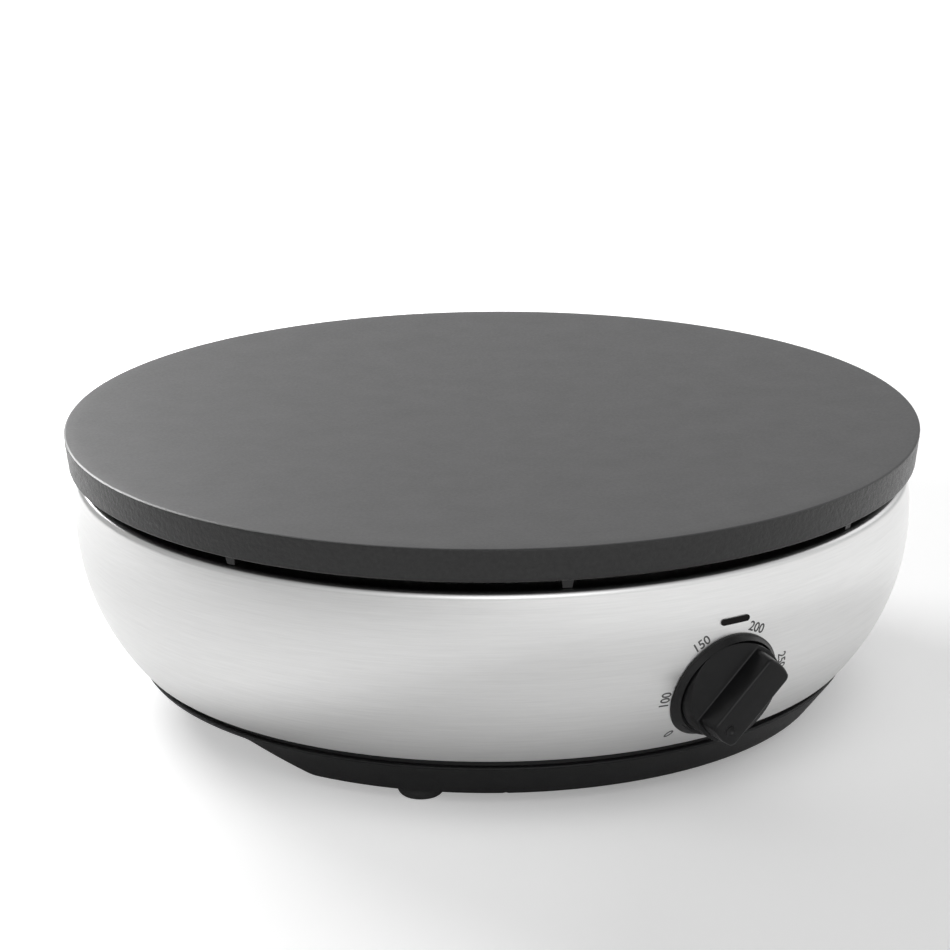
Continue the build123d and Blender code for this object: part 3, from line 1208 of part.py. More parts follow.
lamp_points = (
    place(-1.5, -LAMP_REAR, PILOT_Z),
    place(-1.5, -LAMP_REAR + 16.0, PILOT_Z),
    place(-22.0, -LAMP_REAR + 45.0, PILOT_Z),
    behind_dial(-22.0, 0, BLADE_END + 4.0),
    behind_dial(-7.4, 0, BLADE_END + 4.0),
)
lamp_return_points = (
    place(1.5, -LAMP_REAR, PILOT_Z),
    place(1.5, -LAMP_REAR + 20.0, PILOT_Z),
    place(60.0, -80.0, PIN_END),
    place(56.0, BLOCK_Y - 52.0, POLE_Z + 8.0),
    place(BLOCK_PITCH + 1.8, BLOCK_Y - 26.0, POLE_Z),
    place(BLOCK_PITCH + 1.8, POLE_FACE, POLE_Z),
)
earth_points = (
    place(0, POLE_FACE, POLE_Z),
    place(0, BLOCK_Y - 30.0, POLE_Z),
    place(EARTH_X, EARTH_Y + TAG_TAIL, POLE_Z + 24.0),
    place(EARTH_X, EARTH_Y + TAG_TAIL, REFLECTOR_UNDER - TAG_T - TAG_BARREL),
)

with BuildPart() as leads_brown:
    add(run(live_points, 5.0, LEAD_R, (0, -1, 0)))
    add(run(switched_points, 5.0, LEAD_R, -KNOB_PLANE.z_dir))
    add(run(heater_points, 4.0, LEAD_R, (-1, 0, 0)))
    add(run(lamp_points, 4.0, THIN_LEAD_R, (0, 1, 0)))
save(leads_brown.part, "leads_brown")

with BuildPart() as leads_blue:
    add(run(neutral_points, 4.0, LEAD_R, (0, 0, -1)))
    add(run(lamp_return_points, 5.0, THIN_LEAD_R, (0, 1, 0)))
save(leads_blue.part, "leads_blue")

lead_earth = run(earth_points, 6.0, LEAD_R, (0, -1, 0))
save(lead_earth, "lead_earth")
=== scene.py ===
# Electric crepe maker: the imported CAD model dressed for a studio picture.
# Metres. +Z is up, the floor is Z = 0, and the heat control faces -Y.
import bpy
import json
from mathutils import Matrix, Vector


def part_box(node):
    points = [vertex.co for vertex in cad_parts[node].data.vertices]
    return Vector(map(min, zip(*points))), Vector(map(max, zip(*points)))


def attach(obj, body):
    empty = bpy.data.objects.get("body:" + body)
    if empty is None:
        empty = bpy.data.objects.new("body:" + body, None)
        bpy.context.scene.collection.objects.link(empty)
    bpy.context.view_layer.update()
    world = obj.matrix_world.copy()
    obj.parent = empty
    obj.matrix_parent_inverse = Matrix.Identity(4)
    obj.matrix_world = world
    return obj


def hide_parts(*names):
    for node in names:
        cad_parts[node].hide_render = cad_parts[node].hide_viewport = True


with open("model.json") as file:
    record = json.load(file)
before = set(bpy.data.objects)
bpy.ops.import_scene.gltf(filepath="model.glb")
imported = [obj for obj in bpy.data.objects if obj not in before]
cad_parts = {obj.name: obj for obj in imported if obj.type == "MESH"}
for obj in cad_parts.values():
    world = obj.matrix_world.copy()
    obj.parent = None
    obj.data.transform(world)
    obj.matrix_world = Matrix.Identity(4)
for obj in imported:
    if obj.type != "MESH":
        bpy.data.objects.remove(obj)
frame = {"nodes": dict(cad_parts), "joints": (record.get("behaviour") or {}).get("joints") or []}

for leftover in ("Cube", "Light", "Camera"):
    if leftover in bpy.data.objects:
        bpy.data.objects.remove(bpy.data.objects[leftover])
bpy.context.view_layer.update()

import json
import math
import bmesh
from mathutils import Matrix, Vector, noise as field

NODES = frame["nodes"]
JOINT = frame["joints"][0]
MM = 0.001

# ---------------------------------------------------------------- sizes shared with the CAD source
PLATE_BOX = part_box("cooking_plate")
AXIS_Y = (PLATE_BOX[0][1] + PLATE_BOX[1][1]) / 2
PLATE_TOP = PLATE_BOX[1][2]
PLATE_R = 175.0 * MM
RIM_Z = 103.6 * MM
SHELL_TOP = 99.0 * MM
BELLY_R = 171.5 * MM
BELLY_Z = 82.0 * MM
UPPER_ARC = 103.0 * MM
BOWL_TAPER = 23.0 * MM
WALL = 1.0 * MM
SHELL_FOOT = 24.0 * MM
RIM_ROLL = 3.4 * MM
FOOT_ROLL = 1.6 * MM
RIM_FLANGE = 7.7 * MM
FOOT_FLANGE = 19.5 * MM
UPPER_SWEEP = math.asin((SHELL_TOP - BELLY_Z - RIM_ROLL) / (UPPER_ARC - RIM_ROLL))
LOWER_REACH = BELLY_Z - SHELL_FOOT - FOOT_ROLL
LOWER_IN = BOWL_TAPER - FOOT_ROLL
LOWER_ARC = FOOT_ROLL + (LOWER_REACH**2 + LOWER_IN**2) / (2 * LOWER_IN)
LOWER_SWEEP = math.atan2(LOWER_REACH, LOWER_ARC - FOOT_ROLL - LOWER_IN)
RIM_R = BELLY_R - UPPER_ARC + (UPPER_ARC - RIM_ROLL) * math.cos(UPPER_SWEEP)
EDGE_R = BELLY_R - BOWL_TAPER
KNOB_SEAT = Vector(JOINT["pos_m"])
KNOB_OUT = -Vector(JOINT["axis"]).normalized()
KNOB_RIGHT = Vector((1, 0, 0))
KNOB_UP = KNOB_OUT.cross(KNOB_RIGHT).normalized()
AXIS = Vector((0, AXIS_Y, 0))


def bowl_radius(z):
    """Radius of the bowl's outer face at height z."""
    arc = UPPER_ARC if z > BELLY_Z else LOWER_ARC
    return BELLY_R - arc + math.sqrt(max(arc**2 - (z - BELLY_Z) ** 2, 0.0))


# ---------------------------------------------------------------- camera
# It looks at the middle of the plate's top; its turn is counted from the -Y side, to the right.
CAM_DISTANCE = 1.4
CAM_TURN = math.radians(-31.9)
CAM_HEIGHT = math.radians(16.034)
CAM_PITCH = math.radians(16.8998)
CAM_YAW = math.radians(-0.2968)
CAM_ROLL = math.radians(-0.4353)
CAM_LENS = 128.95
CAM_SHIFT = -0.007776


def make_camera():
    data = bpy.data.cameras.new("camera")
    data.sensor_width = 36.0
    data.lens = CAM_LENS
    data.shift_y = CAM_SHIFT
    data.clip_start = 0.05
    data.clip_end = 60.0
    camera = bpy.data.objects.new("camera", data)
    bpy.context.scene.collection.objects.link(camera)
    spot = Vector((0, -CAM_DISTANCE * math.cos(CAM_HEIGHT), CAM_DISTANCE * math.sin(CAM_HEIGHT)))
    ahead = Vector(
        (
            math.sin(CAM_YAW) * math.cos(CAM_PITCH),
            math.cos(CAM_YAW) * math.cos(CAM_PITCH),
            -math.sin(CAM_PITCH),
        )
    )
    right = Vector((math.cos(CAM_YAW), -math.sin(CAM_YAW), 0))
    up = right.cross(ahead)
    right_rolled = right * math.cos(CAM_ROLL) + up * math.sin(CAM_ROLL)
    up_rolled = up * math.cos(CAM_ROLL) - right * math.sin(CAM_ROLL)
    facing = Matrix((right_rolled, up_rolled, -ahead)).transposed().to_4x4()
    turn = Matrix.Rotation(CAM_TURN, 4, "Z")
    middle = Matrix.Translation(AXIS + Vector((0, 0, PLATE_TOP)))
    camera.matrix_world = middle @ turn @ Matrix.Translation(spot) @ facing
    bpy.context.scene.camera = camera


make_camera()

# ---------------------------------------------------------------- materials
TOP_DARK = (0.052, 0.052, 0.053)
TOP_LIGHT = (0.066, 0.066, 0.067)
SIDE_DARK = (0.010, 0.010, 0.010)
SIDE_LIGHT = (0.020, 0.020, 0.020)
# painted shade: the colour of the plate's lowest band and lugs in the gap above the bowl
FOOT_PAINTED_SHADE = (0.006, 0.006, 0.006)
STEEL_DARK = (0.855, 0.855, 0.85)
STEEL_LIGHT = (0.945, 0.945, 0.94)
# painted shade: the colour of the bowl's rolled edge under the plate
ROLL_PAINTED_SHADE = (0.50, 0.50, 0.50)
ROLL_SHADE_FROM = 3.4 * MM    # painted shade on the bowl's rolled edge under the plate's overhang: from this far below its top, and in full here
ROLL_SHADE_FULL = 1.6 * MM
FINE_LINES = (60, 60, 2300)   # brushing, as a stretch of the noise along X, Y and Z
LONG_LINES = (6, 6, 700)
LONG_SHARE = 0.45
GROUND_FROM = 0.45 * MM   # the plate's ground top, measured down from it
GROUND_FULL = 0.20 * MM
FOOT_SHADE_FULL = 0.2 * MM     # painted shade on the plate's lowest band and its lugs, in the gap above the bowl, measured up from the rim's foot
FOOT_SHADE_FROM = 1.6 * MM
CAST_BUMP = 5.0           # weight of the relief on the cast side and on the ground top
GROUND_BUMP = 0.3
NOISE_LOW = 0.3           # a noise texture's values lie mostly between these two
NOISE_HIGH = 0.7
UPWARDS = (0, 0, 1)


def feed(tree, value, socket):
    """Give a socket a number or a colour, or the output of another node."""
    if isinstance(value, bpy.types.NodeSocket):
        tree.links.new(value, socket)
    elif isinstance(value, tuple):
        socket.default_value = (*value, 1.0)
    else:
        socket.default_value = value


def new_material(name):
    material = bpy.data.materials.new(name)
    material.use_nodes = True
    tree = material.node_tree
    tree.nodes.clear()
    out = tree.nodes.new("ShaderNodeOutputMaterial")
    shader = tree.nodes.new("ShaderNodeBsdfPrincipled")
    tree.links.new(shader.outputs[0], out.inputs[0])
    return material, tree, shader


def object_coords(tree, scale):
    """Object coordinates in metres, stretched by scale."""
    coords = tree.nodes.new("ShaderNodeTexCoord")
    mapping = tree.nodes.new("ShaderNodeMapping")
    mapping.inputs["Scale"].default_value = scale
    tree.links.new(coords.outputs["Object"], mapping.inputs["Vector"])
    return mapping.outputs["Vector"]


def noise(tree, vector, scale, detail=4.0, rough=0.55):
    """Value of a noise texture; with coordinates in metres, 1000 is a grain of about 1 mm."""
    made = tree.nodes.new("ShaderNodeTexNoise")
    made.inputs["Scale"].default_value = scale
    made.inputs["Detail"].default_value = detail
    made.inputs["Roughness"].default_value = rough
    tree.links.new(vector, made.inputs["Vector"])
    return made.outputs["Fac"]


def remap(tree, value, low, high, from_low=NOISE_LOW, from_high=NOISE_HIGH):
    """A value carried over from one range to another, held at the ends."""
    made = tree.nodes.new("ShaderNodeMapRange")
    made.inputs["From Min"].default_value = from_low
    made.inputs["From Max"].default_value = from_high
    made.inputs["To Min"].default_value = low
    made.inputs["To Max"].default_value = high
    tree.links.new(value, made.inputs["Value"])
    return made.outputs["Result"]


def mix(tree, kind, factor, first, second):
    """A colour (RGBA) or a number (FLOAT) between two, by a factor."""
    made = tree.nodes.new("ShaderNodeMix")
    made.data_type = kind
    tree.links.new(factor, made.inputs["Factor"])
    feed(tree, first, made.inputs["A"])
    feed(tree, second, made.inputs["B"])
    return made.outputs["Result"]


def maths(tree, operation, first, second):
    """One step of arithmetic on the outputs of two nodes."""
    made = tree.nodes.new("ShaderNodeMath")
    made.operation = operation
    tree.links.new(first, made.inputs[0])
    tree.links.new(second, made.inputs[1])
    return made.outputs[0]


def reach(tree, output, direction):
    """How far a texture coordinate reaches in a direction."""
    coords = tree.nodes.new("ShaderNodeTexCoord")
    made = tree.nodes.new("ShaderNodeVectorMath")
    made.operation = "DOT_PRODUCT"
    made.inputs[1].default_value = direction
    tree.links.new(coords.outputs[output], made.inputs[0])
    return made.outputs["Value"]


def bump(tree, height, shader, strength, distance):
    made = tree.nodes.new("ShaderNodeBump")
    made.inputs["Strength"].default_value = strength
    made.inputs["Distance"].default_value = distance
    tree.links.new(height, made.inputs["Height"])
    tree.links.new(made.outputs["Normal"], shader.inputs["Normal"])


def grained(
    name, dark, light, rough_low, rough_high, grain, depth, metallic=0.0, stretch=(1, 1, 1), specular=0.5
):
    """A surface with grain: a broad noise varies its colour, a fine one its roughness and relief."""
    material, tree, shader = new_material(name)
    vector = object_coords(tree, stretch)
    fine = noise(tree, vector, grain, 5.0)
    broad = noise(tree, vector, grain / 14.0, 3.0)
    tree.links.new(mix(tree, "RGBA", remap(tree, broad, 0, 1), dark, light), shader.inputs["Base Color"])
    tree.links.new(remap(tree, fine, rough_low, rough_high), shader.inputs["Roughness"])
    shader.inputs["Metallic"].default_value = metallic
    shader.inputs["Specular IOR Level"].default_value = specular
    if depth:
        bump(tree, fine, shader, 0.6, depth)
    return material


def brushed_bowl():
    """Steel brushed round the bowl: fine lines that run along the circumference."""
    material, tree, shader = new_material("steel_brushed")
    lines = noise(tree, object_coords(tree, FINE_LINES), 1.0, 4.0, 0.65)
    long_lines = noise(tree, object_coords(tree, LONG_LINES), 1.0, 4.0, 0.6)
    clouds = noise(tree, object_coords(tree, (1, 1, 2)), 9.0, 3.0)
    mixed = tree.nodes.new("ShaderNodeMath")
    mixed.operation = "MULTIPLY_ADD"
    mixed.inputs[1].default_value = LONG_SHARE
    tree.links.new(long_lines, mixed.inputs[0])
    tree.links.new(lines, mixed.inputs[2])
    brushed = mix(tree, "RGBA", remap(tree, mixed.outputs[0], 0, 1, 0.45, 1.0), STEEL_DARK, STEEL_LIGHT)
    height = reach(tree, "Object", UPWARDS)
    # painted shade on the rolled edge under the plate, mixed over the brushed colour
    rolled = remap(tree, height, 0, 1, SHELL_TOP - ROLL_SHADE_FROM, SHELL_TOP - ROLL_SHADE_FULL)
    tree.links.new(mix(tree, "RGBA", rolled, brushed, ROLL_PAINTED_SHADE), shader.inputs["Base Color"])
    tree.links.new(remap(tree, clouds, 0.30, 0.36), shader.inputs["Roughness"])
    shader.inputs["Metallic"].default_value = 1.0
    shader.inputs["Anisotropic"].default_value = 0.75
    tangent = tree.nodes.new("ShaderNodeTangent")
    tangent.direction_type = "RADIAL"
    tangent.axis = "Z"
    tree.links.new(tangent.outputs[0], shader.inputs["Tangent"])
    bump(tree, mixed.outputs[0], shader, 0.15, 0.00002)
    return material


def repaint(names, material):
    for name in names:
        thing = NODES[name]
        thing.data.materials.clear()
        thing.data.materials.append(material)


def cast_plate():
    """Cast iron: a ground top, a rough cast side and painted shade on the lowest band and lugs over the
    bowl, told apart by height.
    """
    material, tree, shader = new_material("iron_plate")
    vector = object_coords(tree, (1, 1, 1))
    height = reach(tree, "Object", UPWARDS)
    top = remap(tree, height, 0, 1, PLATE_TOP - GROUND_FROM, PLATE_TOP - GROUND_FULL)
    foot_shade = remap(tree, height, 1, 0, RIM_Z + FOOT_SHADE_FULL, RIM_Z + FOOT_SHADE_FROM)
    grain = noise(tree, vector, 900.0, 5.0)
    patches = noise(tree, vector, 60.0, 3.0)
    cast = noise(tree, vector, 560.0, 6.0, 0.6)
    ground = mix(tree, "RGBA", remap(tree, patches, 0, 1), TOP_DARK, TOP_LIGHT)
    rough = mix(tree, "RGBA", remap(tree, cast, 0, 1), SIDE_DARK, SIDE_LIGHT)
    faces = mix(tree, "RGBA", top, rough, ground)
    # painted shade on the plate's lowest band and lugs, mixed over their own colour
    tree.links.new(mix(tree, "RGBA", foot_shade, faces, FOOT_PAINTED_SHADE), shader.inputs["Base Color"])
    gloss = mix(tree, "FLOAT", top, remap(tree, cast, 0.28, 0.42), remap(tree, grain, 0.40, 0.48))
    tree.links.new(gloss, shader.inputs["Roughness"])
    shader.inputs["Specular IOR Level"].default_value = 0.5
    cast_bump = remap(tree, cast, 0, CAST_BUMP, 0, 1)
    ground_bump = remap(tree, grain, 0, GROUND_BUMP, 0, 1)
    relief = mix(tree, "FLOAT", top, cast_bump, ground_bump)
    bump(tree, relief, shader, 0.6, 0.0001)
    return material


steel = brushed_bowl()
plate_iron = cast_plate()
# each surface: name, darker and lighter colour, roughness from and to, grain, depth of relief in metres
base_black = grained(
    "plastic_base", (0.008, 0.008, 0.0085), (0.012, 0.012, 0.0125), 0.42, 0.55, 2200.0, 0.00003, specular=0.2
)
knob_black = grained(
    "plastic_knob", (0.005, 0.005, 0.0055), (0.008, 0.008, 0.0085), 0.30, 0.40, 2600.0, 0.00002,
    specular=0.25,
)
bezel_black = grained(
    "plastic_bezel", (0.007, 0.007, 0.0075), (0.010, 0.010, 0.0105), 0.38, 0.50, 2600.0, 0.00002,
    specular=0.3,
)
rubber = grained("rubber_black", (0.016, 0.016, 0.016), (0.026, 0.026, 0.026), 0.65, 0.8, 1500.0, 0.00004)
zinc = grained(
    "zinc_plate", (0.55, 0.55, 0.53), (0.68, 0.68, 0.65), 0.28, 0.42, 1500.0, 0.00001, metallic=1.0
)
sheet = grained(
    "zinc_sheet", (0.52, 0.52, 0.52), (0.64, 0.64, 0.63), 0.30, 0.45, 700.0, 0.00001, metallic=1.0
)
aluminium = grained(
    "aluminium_sheet", (0.74, 0.74, 0.75), (0.86, 0.86, 0.86), 0.22, 0.38, 500.0, 0.00001,
    metallic=1.0, stretch=(0.1, 1, 1),
)
heater = grained(
    "heater_sheath", (0.10, 0.09, 0.085), (0.19, 0.17, 0.16), 0.42, 0.6, 600.0, 0.00002, metallic=1.0
)
ceramic = grained("ceramic", (0.74, 0.72, 0.66), (0.84, 0.82, 0.76), 0.5, 0.7, 900.0, 0.00001)
brass = grained("brass", (0.62, 0.46, 0.20), (0.76, 0.60, 0.30), 0.25, 0.4, 900.0, 0.00001, metallic=1.0)
copper = grained("copper", (0.66, 0.34, 0.21), (0.78, 0.46, 0.31), 0.25, 0.42, 700.0, 0.00001, metallic=1.0)
moulding = grained("terminal_moulding", (0.78, 0.77, 0.72), (0.86, 0.85, 0.81), 0.4, 0.55, 1200.0, 0.00001)
case = grained(
    "thermostat_case", (0.56, 0.56, 0.56), (0.68, 0.68, 0.67), 0.3, 0.45, 700.0, 0.00001, metallic=1.0
)
lens = grained(
    "lens_dark", (0.007, 0.006, 0.006), (0.010, 0.008, 0.008), 0.12, 0.2, 700.0, 0.0, specular=0.1
)
wire_brown = grained("wire_brown", (0.13, 0.055, 0.03), (0.18, 0.08, 0.045), 0.4, 0.55, 900.0, 0.00001)
wire_blue = grained("wire_blue", (0.03, 0.08, 0.28), (0.05, 0.12, 0.36), 0.4, 0.55, 900.0, 0.00001)
wire_green = grained("wire_green", (0.09, 0.30, 0.05), (0.15, 0.40, 0.09), 0.4, 0.55, 900.0, 0.00001)
glass = grained("lamp_glass", (0.85, 0.82, 0.78), (0.92, 0.90, 0.87), 0.05, 0.1, 500.0, 0.0)
glass.node_tree.nodes["Principled BSDF"].inputs["Transmission Weight"].default_value = 0.8

repaint(("outer_shell",), steel)
repaint(("cooking_plate",), plate_iron)
repaint(("base_tray",), base_black)
repaint(("knob",), knob_black)
repaint(("knob_bezel",), bezel_black)
repaint(("rubber_feet", "cord_bushing"), rubber)
repaint(
    (
        "foot_screws",
        "shell_screws",
        "shell_nuts",
        "clamp_screws",
        "tie_studs",
        "reflector_nuts",
        "tie_washers",
        "tie_nuts",
        "bracket_screws",
        "bulb_clip_screws",
        "block_screws",
        "reflector_screws",
        "control_spindle",
        "element_pins",
    ),
    zinc,
)
repaint(("element_clamps", "bulb_clip", "fuse_clip", "thermostat_bracket", "knob_clip"), sheet)
repaint(("heat_reflector",), aluminium)
repaint(("heating_element",), heater)
repaint(("element_insulators", "thermal_fuse"), ceramic)
repaint(("thermostat_nut", "pole_screws", "earth_tag"), brass)
repaint(("sensor_bulb", "capillary_tube"), copper)
repaint(("terminal_block", "pilot_holder"), moulding)
repaint(("thermostat_body",), case)
repaint(("pilot_lens",), lens)
repaint(("pilot_lamp",), glass)
repaint(("leads_brown",), wire_brown)
repaint(("leads_blue",), wire_blue)
repaint(("lead_earth",), wire_green)

# ---------------------------------------------------------------- mesh tools
def round_points(centre, radius, first, last, count):
    """Points along an arc of a section, as (radius from the axis, height)."""
    steps = [first + (last - first) * k / count for k in range(count + 1)]
    return [(centre[0] + radius * math.cos(a), centre[1] + radius * math.sin(a)) for a in steps]


def straight_points(start, end, count):
    """Points from start to end, without the two ends."""
    return [
        (start[0] + (end[0] - start[0]) * k / count, start[1] + (end[1] - start[1]) * k / count)
        for k in range(1, count)
    ]


def lathe(section, segments):
    """A closed section turned round the plate's axis. Points on the axis become one vertex."""
    work = bmesh.new()
    rows = []
    for radius, height in section:
        if radius < 1e-9:
            rows.append([work.verts.new((0, AXIS_Y, height))] * segments)
            continue
        row = []
        for k in range(segments):
            turn = 2 * math.pi * k / segments
            row.append(work.verts.new((radius * math.cos(turn), AXIS_Y + radius * math.sin(turn), height)))
        rows.append(row)
    for this, after in zip(rows, rows[1:] + rows[:1]):
        for k in range(segments):
            corners = [this[k], this[(k + 1) % segments], after[(k + 1) % segments], after[k]]
            kept = [corner for n, corner in enumerate(corners) if corner not in corners[:n]]
            if len(kept) > 2:
                work.faces.new(kept)
    bmesh.ops.recalc_face_normals(work, faces=work.faces)
    return work


def prism(work, outline, low, high):
    """A straight prism on an outline of (x, y) points, added to a mesh under construction."""
    below = [work.verts.new((x, y, low)) for x, y in outline]
    above = [work.verts.new((x, y, high)) for x, y in outline]
    made = [work.faces.new(below), work.faces.new(above)]
    for k in range(len(outline)):
        after = (k + 1) % len(outline)
        made.append(work.faces.new((below[k], below[after], above[after], above[k])))
    bmesh.ops.recalc_face_normals(work, faces=made)
    return below + above


def turned(point, angle, ring=0.0):
    """A point (along the ring's radius, across it) at an angle round the plate's axis."""
    along = ring + point[0]
    return (
        along * math.cos(angle) - point[1] * math.sin(angle),
        AXIS_Y + along * math.sin(angle) + point[1] * math.cos(angle),
    )


def circle(ring, angle, radius, count=32):
    """A round outline whose middle lies on a ring round the plate's axis."""
    steps = [2 * math.pi * k / count for k in range(count)]
    return [turned((radius * math.cos(a), radius * math.sin(a)), angle, ring) for a in steps]


def as_object(name, work):
    mesh = bpy.data.meshes.new(name)
    work.to_mesh(mesh)
    work.free()
    made = bpy.data.objects.new(name, mesh)
    bpy.context.scene.collection.objects.link(made)
    return made


def carried_out(thing):
    """A new mesh of an object, with its modifiers carried out."""
    bpy.context.view_layer.update()
    graph = bpy.context.evaluated_depsgraph_get()
    return bpy.data.meshes.new_from_object(thing.evaluated_get(graph))


def combine(target, tool, operation):
    """Join a tool mesh to the target or cut it out, and drop the tool."""
    step = target.modifiers.new("step", "BOOLEAN")
    step.operation = operation
    step.solver = "EXACT"
    step.object = tool
    result = carried_out(target)
    target.modifiers.clear()
    target.data = result
    bpy.data.objects.remove(tool)


ARC_NEAR = 0.06 * MM  # a face's middle lies this near to the arc that it belongs to
TURN_SLACK = 0.01
SAME_WAY = 0.95       # and its normal agrees with the arc's at least so far
SHARP = math.radians(30.0)


def set_normals(thing, arcs):
    """Smooth shading with sharp edges; faces that lie on an arc of the section get its exact normals."""
    mesh = thing.data
    work = bmesh.new()
    work.from_mesh(mesh)
    bmesh.ops.dissolve_degenerate(work, edges=work.edges, dist=1e-7)
    for edge in work.edges:
        edge.smooth = len(edge.link_faces) == 2 and edge.calc_face_angle(0) < SHARP
    for face in work.faces:
        face.smooth = True
    work.to_mesh(mesh)
    work.free()
    if not arcs:
        return
    wanted = [(0, 0, 0)] * len(mesh.loops)
    for face in mesh.polygons:
        radius = math.hypot(face.center.x, face.center.y - AXIS_Y)
        out = Vector((face.center.x, face.center.y - AXIS_Y)) / max(radius, 1e-9)
        lean = face.normal.x * out.x + face.normal.y * out.y
        for centre, arc, first, last, side in arcs:
            across, up = radius - centre[0], face.center.z - centre[1]
            turn = math.atan2(up, across)
            agree = side * (math.cos(turn) * lean + math.sin(turn) * face.normal.z)
            near = abs(math.hypot(across, up) - arc) < ARC_NEAR
            within = first - TURN_SLACK < turn < last + TURN_SLACK
            if near and within and agree > SAME_WAY:
                for loop in face.loop_indices:
                    spot = mesh.vertices[mesh.loops[loop].vertex_index].co
                    reach = math.hypot(spot.x, spot.y - AXIS_Y)
                    local = math.atan2(spot.z - centre[1], reach - centre[0])
                    flat = math.cos(local) / reach
                    wanted[loop] = (
                        side * flat * spot.x,
                        side * flat * (spot.y - AXIS_Y),
                        side * math.sin(local),
                    )
                break
    mesh.normals_split_custom_set(wanted)


def finish_piece(thing, material, body, nodes):
    thing.data.materials.clear()
    thing.data.materials.append(material)
    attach(thing, body)
    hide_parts(*nodes)


# ---------------------------------------------------------------- steel bowl
UPPER_MIDDLE = (BELLY_R - UPPER_ARC, BELLY_Z)
LOWER_MIDDLE = (BELLY_R - LOWER_ARC, BELLY_Z)
RIM_MIDDLE = (RIM_R, SHELL_TOP - RIM_ROLL)
EDGE_MIDDLE = (EDGE_R, SHELL_FOOT + FOOT_ROLL)
QUARTER = math.pi / 2
BOWL_SEGMENTS = 400
SCREW_HOLE_R = 2.35 * MM
CUP_HOLE_R = 22.15 * MM
PILOT_Z = 79.0 * MM
PILOT_HOLE = (13.3 * MM, 2.8 * MM)
SHELL_SCREW_RING = EDGE_R - 14.5 * MM
SHELL_SCREW_ANGLES = [math.radians(angle) for angle in (60, 120, 240, 300)]
NOTCH_HALF = 21.5 * MM
NOTCH_Y = 140.9 * MM
NOTCH_DEEP = 20.0 * MM
CUT_OUT = 10.0 * MM   # a cut through the sheet starts this far outside and ends this far inside
CUT_IN = 22.0 * MM


def bowl_section():
    """Section of the bowl's 1 mm sheet: flange, rolled rim, two arcs, rolled foot and flange."""
    outside = round_points(RIM_MIDDLE, RIM_ROLL, QUARTER, UPPER_SWEEP, 8)
    outside += round_points(UPPER_MIDDLE, UPPER_ARC, UPPER_SWEEP, 0, 14)[1:]
    outside += round_points(LOWER_MIDDLE, LOWER_ARC, 0, -LOWER_SWEEP, 26)[1:]
    outside += round_points(EDGE_MIDDLE, FOOT_ROLL, -LOWER_SWEEP, -QUARTER, 6)[1:]
    outside += [(EDGE_R - FOOT_FLANGE, SHELL_FOOT)]
    inside = round_points(RIM_MIDDLE, RIM_ROLL - WALL, QUARTER, UPPER_SWEEP, 6)
    inside += round_points(UPPER_MIDDLE, UPPER_ARC - WALL, UPPER_SWEEP, 0, 14)[1:]
    inside += round_points(LOWER_MIDDLE, LOWER_ARC - WALL, 0, -LOWER_SWEEP, 26)[1:]
    inside += round_points(EDGE_MIDDLE, FOOT_ROLL - WALL, -LOWER_SWEEP, -QUARTER, 4)[1:]
    inside += [(EDGE_R - FOOT_FLANGE, SHELL_FOOT + WALL)]
    flange_end = RIM_R - RIM_FLANGE
    return [(flange_end, SHELL_TOP)] + outside + inside[::-1] + [(flange_end, SHELL_TOP - WALL)]


def in_knob_frame(x, y, z):
    """The place of a point given right of the knob's seat, up along its plane and out of it."""
    return KNOB_SEAT + KNOB_RIGHT * x + KNOB_UP * y + KNOB_OUT * z


def knob_prism(work, outline, back, front):
    """A prism along the knob's axis on an outline in the knob's own plane."""
    for vertex in prism(work, outline, back, front):
        vertex.co = in_knob_frame(*vertex.co)


def stadium(long, tall, count=16):
    """Outline of a slot with round ends."""
    half = (long - tall) / 2
    turns = [-QUARTER + math.pi * k / count for k in range(count + 1)]
    right = [(half + tall / 2 * math.cos(a), tall / 2 * math.sin(a)) for a in turns]
    left = [(-x, -y) for x, y in right]
    return right + left


def build_bowl():
    bowl = as_object("bowl", lathe(bowl_section(), BOWL_SEGMENTS))
    cuts = bmesh.new()
    steps = [2 * math.pi * k / 96 for k in range(96)]
    opening = [(CUP_HOLE_R * math.cos(a), CUP_HOLE_R * math.sin(a)) for a in steps]
    knob_prism(cuts, opening, -CUT_IN, CUT_OUT)
    slot = prism(cuts, stadium(*PILOT_HOLE), -BELLY_R - CUT_OUT, -BELLY_R + CUT_IN)
    for vertex in slot:
        x, y, z = vertex.co
        vertex.co = (x, AXIS_Y + z, PILOT_Z + y)
    for angle in SHELL_SCREW_ANGLES:
        hole = circle(SHELL_SCREW_RING, angle, SCREW_HOLE_R)
        prism(cuts, hole, SHELL_FOOT - MM, SHELL_FOOT + 2 * MM)
    notch = [
        (-NOTCH_HALF, AXIS_Y - NOTCH_Y),
        (NOTCH_HALF, AXIS_Y - NOTCH_Y),
        (NOTCH_HALF, AXIS_Y - NOTCH_Y + NOTCH_DEEP),
        (-NOTCH_HALF, AXIS_Y - NOTCH_Y + NOTCH_DEEP),
    ]
    prism(cuts, notch, SHELL_FOOT - MM, SHELL_FOOT + 2 * MM)
    combine(bowl, as_object("bowl_cuts", cuts), "DIFFERENCE")
    arcs = []
    for middle, radius, first, last in (
        (RIM_MIDDLE, RIM_ROLL, UPPER_SWEEP, QUARTER),
        (UPPER_MIDDLE, UPPER_ARC, 0, UPPER_SWEEP),
        (LOWER_MIDDLE, LOWER_ARC, -LOWER_SWEEP, 0),
        (EDGE_MIDDLE, FOOT_ROLL, -QUARTER, -LOWER_SWEEP),
    ):
        arcs.append((middle, radius, first, last, 1))
        arcs.append((middle, radius - WALL, first, last, -1))
    set_normals(bowl, arcs)
    finish_piece(bowl, steel, "housing", ("outer_shell",))


build_bowl()

